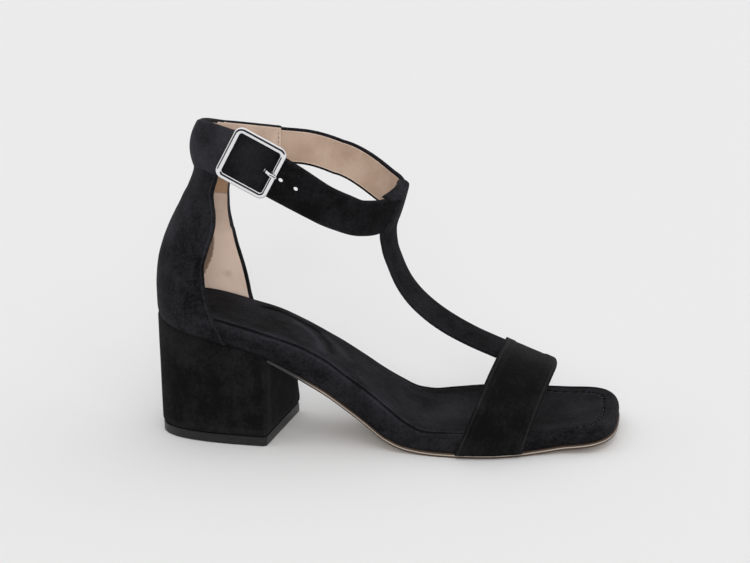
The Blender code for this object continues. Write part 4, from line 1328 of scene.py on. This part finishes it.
def strapGrids(turns, shares):
    outer = np.zeros((len(turns), len(shares), 3))
    inner = np.zeros_like(outer)
    outs = np.zeros_like(outer)
    for i, turn in enumerate(turns):
        run = unit(strapLine(turn + strapSet["sample"]) - strapLine(turn - strapSet["sample"]))
        up = unit(upright - run * run[2])
        out = unit(np.cross(up, run))
        lean = math.radians(strapColumn("lean", turn))
        up = up * math.cos(lean) - out * math.sin(lean)
        out = unit(np.cross(up, run))
        half = 0.5 * strapColumn("wide", turn)
        swell = strapColumn("bow", turn) * (1.0 - shares * shares)
        crown = float(along(strapSet["crown"], "turn", "rise", turn % strapSet["turns"]))
        place = strapLine(turn) + up * (half * shares + crown * ease(shares))[:, None]
        outer[i] = place + out * swell[:, None]
        inner[i] = place - out * (strapSet["wall"] - strapSet["innerBow"] * swell)[:, None]
        outs[i] = out
    return outer, inner, outs


def cutHoles(piece):
    a = circleOf(strapSet["holeSides"])
    circle = 0.5 * strapSet["holeRound"] * np.column_stack((np.cos(a), np.zeros(len(a)), np.sin(a)))
    reach = np.array((0.0, strapSet["holeReach"], 0.0))
    for turn in strapSet["holes"]:
        rings = [strapLine(turn) + circle + way * reach for way in (-1.0, 1.0)]
        pin = ringPiece("holePin", rings, [suede["suedeStrap"]], True)
        cut = piece.modifiers.new("hole", "BOOLEAN")
        cut.operation = "DIFFERENCE"
        cut.solver = "EXACT"
        cut.object = pin
        graph = bpy.context.evaluated_depsgraph_get()
        mesh = bpy.data.meshes.new_from_object(piece.evaluated_get(graph))
        piece.modifiers.clear()
        piece.data = mesh
        bpy.data.objects.remove(pin, do_unlink=True)
    piece.data.set_sharp_from_angle(angle=math.radians(strapSet["holeSharp"]))


def makeStrap():
    turns = np.linspace(0.0, strapSet["turns"], strapSet["around"] + 1)[:-1]
    shares = crowded(strapSet["across"], strapSet["crowding"])
    outer, inner, outs = strapGrids(turns, shares)
    wide = np.array([strapColumn("wide", turn) for turn in turns])
    fromEdge = 0.5 * wide[:, None] * (1.0 - np.abs(shares))[None]
    outer = outer + outs * softRise(outer, fromEdge, strapSet, seed=21)
    inner = inner + outs * waves(inner, strapSet["liningWaves"], seed=23)[..., None]
    wornOuter = fade(fromEdge, *strapSet["rimWorn"]) + clouds(outer, *strapSet["cloudWorn"], seed=24)
    wornOuter = wornOuter + bell(turns, *strapSet["buckleHighlight"])[:, None]
    wornInner = strapSet["shadedLining"] + clouds(inner, *strapSet["liningClouds"], seed=25)
    rim, pale = strapSet["liningRim"]
    wornInner = np.where(fromEdge < rim, pale, wornInner)
    piece = wallPiece("ankleStrap", outer, inner, True, "suedeStrap", wornOuter, wornInner,
                      strapSet["bulge"])
    cutHoles(piece)
    dress(piece, "upper", "upper")


makeStrap()
print("ankle strap built")

# Sleeves round the ankle strap: the casing at the back and the loop in front
sleeveSet = {
    "across": 25,
    "capSteps": 11,
    "capMost": 1.2,
    "capRise": 1.5,
    "rimShares": ((0.3, 0.72), (1.0, 0.95)),  # steps in from an end and the growth there
    "rimGrow": 0.12,
    # painted shadow: deepens the casing's lining
    "shadedLining": 0.46,
    "lumpSize": 16.0,
    "lumpShare": 0.6,
}


def sleeveTurns(first, last, count, grow, edge):
    steps = edge * np.array([0.0] + [step for step, _ in sleeveSet["rimShares"]])
    turns = np.concatenate((first + steps, np.linspace(first + 2 * edge, last - 2 * edge, count),
                            (last - steps)[::-1]))
    grows = np.full(len(turns), grow)
    grows[[0, -1]] = sleeveSet["rimGrow"]
    for k, (_, share) in enumerate(sleeveSet["rimShares"], 1):
        grows[[k, -1 - k]] = share * grow
    return turns, grows


def sleevePiece(name, turns, grows, materials, wear, slant, tucked=(), seed=0):
    # slant: the last turn at each height; tucked: suede strips inside the rim, with first and last turn
    shares = np.linspace(1.0, -1.0, sleeveSet["across"])
    grids = [np.zeros((len(turns), len(shares), 3)) for _ in range(3)]
    for j, share in enumerate(shares):
        last = float(along(slant, "share", "turn", share))
        bent = turns[0] + (turns - turns[0]) * (last - turns[0]) / (turns[-1] - turns[0])
        for grid, column in zip(grids, strapGrids(bent, shares[j:j + 1])):
            grid[:, j] = column[:, 0]
    outer, inner, outs = grids
    caps = np.radians(np.linspace(0.0, 180.0, sleeveSet["capSteps"]))[1:-1]
    inside = len(shares) + len(caps)  # where the inner face starts in a ring
    rings = []
    kinds = np.zeros((len(turns), 2 * inside), int)
    for i, grow in enumerate(grows):
        radius = 0.5 * strapSet["wall"] + grow
        lift = sleeveSet["capRise"] * min(grow, sleeveSet["capMost"]) * unit(outer[i, 0] - outer[i, -1])
        ends = []
        for end, way in ((-1, -1.0), (0, 1.0)):
            arch = np.outer(np.sin(caps), lift) - np.outer(np.cos(caps), outs[i, end] * radius)
            ends.append(0.5 * (outer[i, end] + inner[i, end]) + way * arch)
        thick = outs[i] * grow
        rings.append(np.vstack((outer[i] + thick, ends[0], (inner[i] - thick)[::-1], ends[1])))
        strips = sum(first < turns[i] < last for first, last in tucked)
        kinds[i, inside:inside + len(shares) - strips] = len(materials) - 1
    size = 2 * inside
    points = np.vstack(rings)
    wear = np.repeat(np.broadcast_to(wear, len(turns)), size)
    worn = wear * ease(sleeveSet["lumpShare"] * (1.0 + lumps(points, sleeveSet["lumpSize"], seed)))
    worn = np.where(kinds.ravel() == 1, sleeveSet["shadedLining"], worn)
    faceMaterial = np.concatenate((kinds[:-1].ravel(), [0, 0]))
    return ringPiece(name, rings, materials, True, faceMaterial=faceMaterial, worn=worn)


# Casing: the counter's top folded over the strap, with its stitch row on the inner side
casingSet = {
    "turns": (2.14, 4.20),
    "count": 90,
    "grow": 0.75,
    "edge": 0.022,
    "slant": rowsOf("share turn", [(-1.0, 2.27), (-0.5, 2.215), (0.0, 2.195), (0.5, 2.155), (1.0, 2.13)]),
    "tucked": ((2.62, 3.42), (2.74, 3.30), (2.84, 3.22), (2.92, 3.15)),
    # paler on the outer side of the back, darker on the inner side: painted light and shade
    "wear": rowsOf("turn wear", [(2.0, 0.34), (2.9, 0.34), (3.5, -0.10), (4.3, -0.12)]),
    "stitchIn": 0.035,
    "stitchShares": 0.92,
    "stitchPoints": 40,
    "stitchLift": 0.02,
    "stitchPitch": 2.4,
    "stitchLong": 1.5,
}


def makeCasing():
    grow = casingSet["grow"]
    turns, grows = sleeveTurns(*casingSet["turns"], casingSet["count"], grow, casingSet["edge"])
    turns = turns[::-1]
    wear = along(casingSet["wear"], "turn", "wear", turns)
    piece = sleevePiece("backCasing", turns, grows[::-1], [suede["suedeUpper"], liningTan], wear,
                        casingSet["slant"], casingSet["tucked"], seed=31)
    dress(piece, "upper", "upper")
    shares = np.linspace(-casingSet["stitchShares"], casingSet["stitchShares"], casingSet["stitchPoints"])
    _, inner, outs = strapGrids([casingSet["turns"][1] - casingSet["stitchIn"]], shares)
    path = inner[0] - outs[0] * (grow + casingSet["stitchLift"])
    stitches = stitchPiece("casingStitches", path, -outs[0], casingSet["stitchPitch"],
                           casingSet["stitchLong"], flat["threadTan"])
    dress(stitches, "upper")


makeCasing()
print("back casing built")

# Loop: the T strap's end folded round the ankle strap
loopSet = {
    "halfTurn": 0.19,
    "count": 19,
    "grow": 2.1,
    "edge": 0.012,
    "wear": 0.15,
    "slant": rowsOf("share turn", [(-1.0, 0.21), (-0.5, 0.14), (0.0, 0.07), (0.45, 0.02),
                                   (0.75, 0.05), (0.9, 0.10), (1.0, 0.19)]),
}


def makeLoop():
    half = loopSet["halfTurn"]
    turns, grows = sleeveTurns(-half, half, loopSet["count"], loopSet["grow"], loopSet["edge"])
    piece = sleevePiece("strapLoop", turns, grows, [suede["suedeUpper"]], loopSet["wear"],
                        loopSet["slant"], seed=33)
    dress(piece, "upper", "upper")


makeLoop()
print("loop built")

# T strap from the vamp strap up to the loop
teeSet = {
    "along": 111,
    "across": 25,
    "crowding": 0.38,
    "wall": 2.2,
    "bulge": 0.4,
    "bowFoot": 0.6,
    "fold": 2.2,
    "foldSoft": 0.8,
    "foldHigh": 0.14,
    "waves": ((0.14, 15.0), (0.06, 6.0)),
    "waveFrom": 2.5,
    "faceLift": -0.05,
    "plainWorn": 0.13,
    "rimWorn": (0.10, 1.8),
    "cloudWorn": (0.12, 18.0),
    "lowWorn": (0.10, 2.5, 3.0),
    # painted shade: deepens the T strap's lining a little
    "shadedLining": 0.1,
    "rows": rowsOf("run station side height twist wide", [
        (0.0, 199.0, 0.6, 39.3, 6.0, 20.0),
        (1.0, 186.5, 0.2, 45.0, 8.0, 19.6),
        (2.0, 169.2, -0.2, 52.7, 11.0, 18.4),
        (3.0, 156.0, -0.4, 60.0, 15.0, 17.2),
        (4.0, 146.3, -0.4, 67.1, 17.0, 16.4),
        (5.0, 138.3, -0.2, 75.1, 18.0, 15.6),
        (6.0, 133.0, 0.0, 83.2, 18.0, 15.0),
        (7.0, 129.6, 0.2, 91.4, 18.0, 14.6),
        (8.0, 127.0, 0.2, 100.0, 18.0, 14.8),
        (9.0, 126.3, 0.0, 107.5, 18.0, 16.0),
        (10.0, 127.8, 0.0, 114.5, 18.0, 17.2),
        (11.0, 129.6, 0.0, 120.5, 18.0, 17.6),
    ]),
    "outerTrim": rowsOf("run trim", [(0.0, 0.0), (8.6, 0.0), (9.6, 0.12), (10.3, 0.40), (11.0, 0.62)]),
}


def makeTee():
    rows = teeSet["rows"]
    runs = np.linspace(rows["run"][0], rows["run"][-1], teeSet["along"])
    line = np.column_stack([along(rows, "run", name, runs) for name in ("station", "side", "height")])
    tangent = unit(np.gradient(line, axis=0))
    twist = np.radians(along(rows, "run", "twist", runs))
    wide = along(rows, "run", "wide", runs)
    trim = along(teeSet["outerTrim"], "run", "trim", runs)
    shares = crowded(teeSet["across"], teeSet["crowding"])
    bow = (1.0 - shares * shares) - teeSet["bowFoot"]
    sideways = np.array((0.0, 1.0, 0.0))
    outer = np.zeros((len(runs), len(shares), 3))
    outs = np.zeros_like(outer)
    for i in range(len(runs)):
        face = unit(np.cross(tangent[i], sideways))
        if face[2] + face[0] < 0.0:
            face = -face
        across = sideways * math.cos(twist[i]) + face * math.sin(twist[i])
        out = unit(face * math.cos(twist[i]) - sideways * math.sin(twist[i]))
        spread = np.where(shares < 0.0, shares * (1.0 - trim[i]), shares)
        outer[i] = line[i] + across * 0.5 * wide[i] * spread[:, None] + out * bow[:, None]
        outs[i] = out
    inner = outer - outs * teeSet["wall"]
    fromEdge = 0.5 * wide[:, None] * (1.0 - np.abs(shares))[None]
    outer = outer + outs * softRise(outer, fromEdge, teeSet, seed=41)
    worn = teeSet["plainWorn"] + fade(fromEdge, *teeSet["rimWorn"])
    worn = worn + clouds(outer, *teeSet["cloudWorn"], seed=43)
    worn = worn - teeSet["lowWorn"][0] + ramp(runs, *teeSet["lowWorn"])[:, None]
    lining = np.full(fromEdge.shape, teeSet["shadedLining"])
    piece = wallPiece("teeStrap", outer, inner, False, "suedeStrap", worn, lining, teeSet["bulge"])
    dress(piece, "upper", "upper")


makeTee()
print("T strap built")

# Vamp strap over the toes; arc 0 is the outer foot, 1 the crest, 2 the inner foot
vampSet = {
    "wall": 2.2,
    "bulge": 0.42,
    "spring": 14.0,
    "springArc": 0.25,
    "crestAt": 198.0,
    "crest": 41.2,
    "slope": -0.45,
    "ridge": 4.0,
    "round": 2.25,
    "footSteps": 12,
    "archSteps": 99,
    "middleSteps": 21,
    "edgeSteps": (0.0, 0.008, 0.016, 0.024, 0.032, 0.04, 0.05, 0.06, 0.075, 0.095, 0.115, 0.13, 0.145,
                  0.16, 0.18, 0.21),
    "fold": 4.2,
    "foldSoft": 0.8,
    "foldHigh": 0.42,
    "waves": ((0.18, 16.0), (0.08, 6.0)),
    "waveFrom": 3.0,
    "faceLift": -0.32,
    "foldWorn": 0.06,
    "cloudWorn": (0.10, 18.0),
    "rimWorn": (0.30, 1.1, 0.4),
    "rimWaves": ((0.10, 5.0),),
    # painted sheen: a pale band just past the crest, towards the inner side
    "crestSheen": (0.30, 1.10, 0.16),
    "footWorn": (0.08, 0.3),
    # painted shade: deepens the vamp's lining
    "shadedLining": 0.25,
    "rows": rowsOf("arc back front", [
        (0.00, 163.0, 196.9),
        (0.12, 165.4, 198.9),
        (0.25, 168.2, 200.9),
        (0.35, 172.0, 203.1),
        (0.45, 175.0, 204.9),
        (0.60, 178.6, 207.3),
        (0.80, 182.3, 209.8),
        (0.90, 183.5, 210.7),
        (1.00, 184.8, 211.3),
        (1.40, 182.0, 206.6),
        (1.75, 175.0, 203.0),
        (2.00, 171.0, 202.0),
    ]),
}


def vampPoint(arc, station):
    reach = shoe["gap"] + vampSet["wall"]
    end = float(sole("lateral", station)) - reach if arc < 1.0 else float(sole("medial", station)) + reach
    crest = vampSet["crest"] + vampSet["slope"] * (station - vampSet["crestAt"])
    foot = float(sole("bottom", station))
    spring = vampSet["spring"]
    fromFoot = min(arc, 2.0 - arc) / vampSet["springArc"]
    if fromFoot < 1.0:
        return np.array((station, end, foot + (spring - foot) * fromFoot))
    a = math.radians(90.0 * (arc - 1.0) / (1.0 - vampSet["springArc"]))
    power = 2.0 / vampSet["round"]
    y = vampSet["ridge"] + (end - vampSet["ridge"]) * math.sin(abs(a)) ** power
    return np.array((station, y, spring + (crest - spring) * math.cos(a) ** power))


def makeVamp():
    spring = vampSet["springArc"]
    foot = np.linspace(0.0, spring, vampSet["footSteps"])
    arch = np.linspace(spring, 2.0 - spring, vampSet["archSteps"])[1:-1]
    arcs = np.concatenate((foot, arch, np.linspace(2.0 - spring, 2.0, vampSet["footSteps"])))
    steps = np.array(vampSet["edgeSteps"])
    middle = np.linspace(steps[-1], 1.0 - steps[-1], vampSet["middleSteps"])[1:-1]
    shares = np.concatenate((steps, middle, (1.0 - steps)[::-1]))
    back = along(vampSet["rows"], "arc", "back", arcs)
    wide = along(vampSet["rows"], "arc", "front", arcs) - back
    grid = np.array([[vampPoint(arc, back[i] + wide[i] * share) for share in shares]
                     for i, arc in enumerate(arcs)])
    normal = -gridNormals(grid)
    fromEdge = wide[:, None] * np.minimum(shares, 1.0 - shares)[None]
    outer = grid + normal * softRise(grid, fromEdge, vampSet, seed=51)
    inner = grid - normal * vampSet["wall"]
    worn = vampSet["foldWorn"] * foldOf(fromEdge, vampSet) + clouds(grid, *vampSet["cloudWorn"], seed=53)
    amount, place, width = vampSet["rimWorn"]
    worn = worn + bell(fromEdge, amount + waves(grid, vampSet["rimWaves"], seed=54), place, width)
    worn = worn + (bell(arcs, *vampSet["crestSheen"]) + fade(arcs, *vampSet["footWorn"]))[:, None]
    lining = np.full(fromEdge.shape, vampSet["shadedLining"])
    piece = wallPiece("vampStrap", outer, inner, False, "suedeVamp", worn, lining, vampSet["bulge"])
    dress(piece, "upper", "upper")


makeVamp()
print("vamp strap built")

# Square buckle and its pin in polished nickel
buckleSet = {
    "centre": (60.5, 151.6),
    "slope": -29.0,
    "size": 29.4,
    "corner": 4.5,
    "barWide": 3.2,
    "barThick": 2.2,
    "barSides": 36,
    "cornerSteps": 13,
    "straightSteps": 8,
    "off": 0.35,
    "pinThick": 2.2,
    "pinStart": 7.6,
    "pinEnd": 15.2,
    "pinSteps": 41,
    "pinSides": 18,
    "pinClimb": 0.62,  # shares of the pin's length: climb onto the bar, foot in the hole, rounded tip
    "pinFoot": 0.16,
    "pinTip": 0.1,
    "pinSink": 1.1,
    "pinTaper": 0.22,
    "pinLeast": 0.05,
    "pinOff": 0.1,
}


def buckleAxes():
    slope = math.radians(buckleSet["slope"])
    run = np.array((math.cos(slope), 0.0, math.sin(slope)))
    up = np.array((-math.sin(slope), 0.0, math.cos(slope)))
    out = np.array((0.0, -1.0, 0.0))
    station, height = buckleSet["centre"]
    centre = np.array((station, -strapSet["half"] - buckleSet["off"] - shoe["gap"], height))
    return centre, run, up, out


def makeFrame():
    centre, run, up, out = buckleAxes()
    half = 0.5 * (buckleSet["size"] - buckleSet["barWide"])
    radius = buckleSet["corner"] - 0.5 * buckleSet["barWide"]
    arcs = []
    for quarter in range(4):
        middle = math.radians(45.0 + 90.0 * quarter)
        corner = (half - radius) * math.sqrt(2.0) * np.array((math.cos(middle), math.sin(middle)))
        a = np.radians(90.0 * quarter + np.linspace(0.0, 90.0, buckleSet["cornerSteps"]))
        arcs.append(corner + radius * np.column_stack((np.cos(a), np.sin(a))))
    share = np.linspace(0.0, 1.0, buckleSet["straightSteps"])[1:-1, None]
    path = []
    for arc, after in zip(arcs, arcs[1:] + arcs[:1]):
        path += [arc, arc[-1] * (1.0 - share) + after[0] * share]
    path = np.vstack(path)
    tangent = unit(np.roll(path, -1, 0) - np.roll(path, 1, 0))
    outward = np.column_stack((tangent[:, 1], -tangent[:, 0]))
    angle = circleOf(buckleSet["barSides"], 0.5)
    wide = 0.5 * buckleSet["barWide"] * np.cos(angle)
    high = 0.5 * buckleSet["barThick"] * (1.0 + np.sin(angle))
    plan = path[:, None] + outward[:, None] * wide[None, :, None]
    points = centre + plan[..., :1] * run + plan[..., 1:] * up + high[None, :, None] * out
    faces = ringFaces(len(path), len(angle), loop=True)
    piece = makePiece("buckleFrameNickel", points, faces, [nickelBright])
    dress(piece, "buckle_frame", "buckle_frame")


def makePin():
    centre, run, up, out = buckleAxes()
    radius = 0.5 * buckleSet["pinThick"]
    rest = buckleSet["barThick"] + shoe["gap"]
    angle = circleOf(buckleSet["pinSides"])
    rings = []
    for t in np.linspace(0.0, 1.0, buckleSet["pinSteps"]):
        lift = ramp(t, rest, 0.0, buckleSet["pinClimb"])
        lift = lift - fade(t, buckleSet["pinSink"], buckleSet["pinFoot"])
        beyond = max(0.0, (t - 1.0 + buckleSet["pinTip"]) / buckleSet["pinTip"])
        tip = math.sqrt(max(0.0, 1.0 - beyond ** 2))
        thin = radius * (1.0 - buckleSet["pinTaper"] * t) * max(tip, buckleSet["pinLeast"])
        place = centre + run * (buckleSet["pinStart"] + (buckleSet["pinEnd"] - buckleSet["pinStart"]) * t)
        rise = lift + radius + buckleSet["pinOff"] + thin * np.sin(angle)
        rings.append(place + np.outer(thin * np.cos(angle), up) + np.outer(rise, out))
    piece = ringPiece("bucklePinNickel", rings, [nickelBright], True)
    dress(piece, "buckle_prong", "buckle_prong")


makeFrame()
makePin()
print("buckle built")
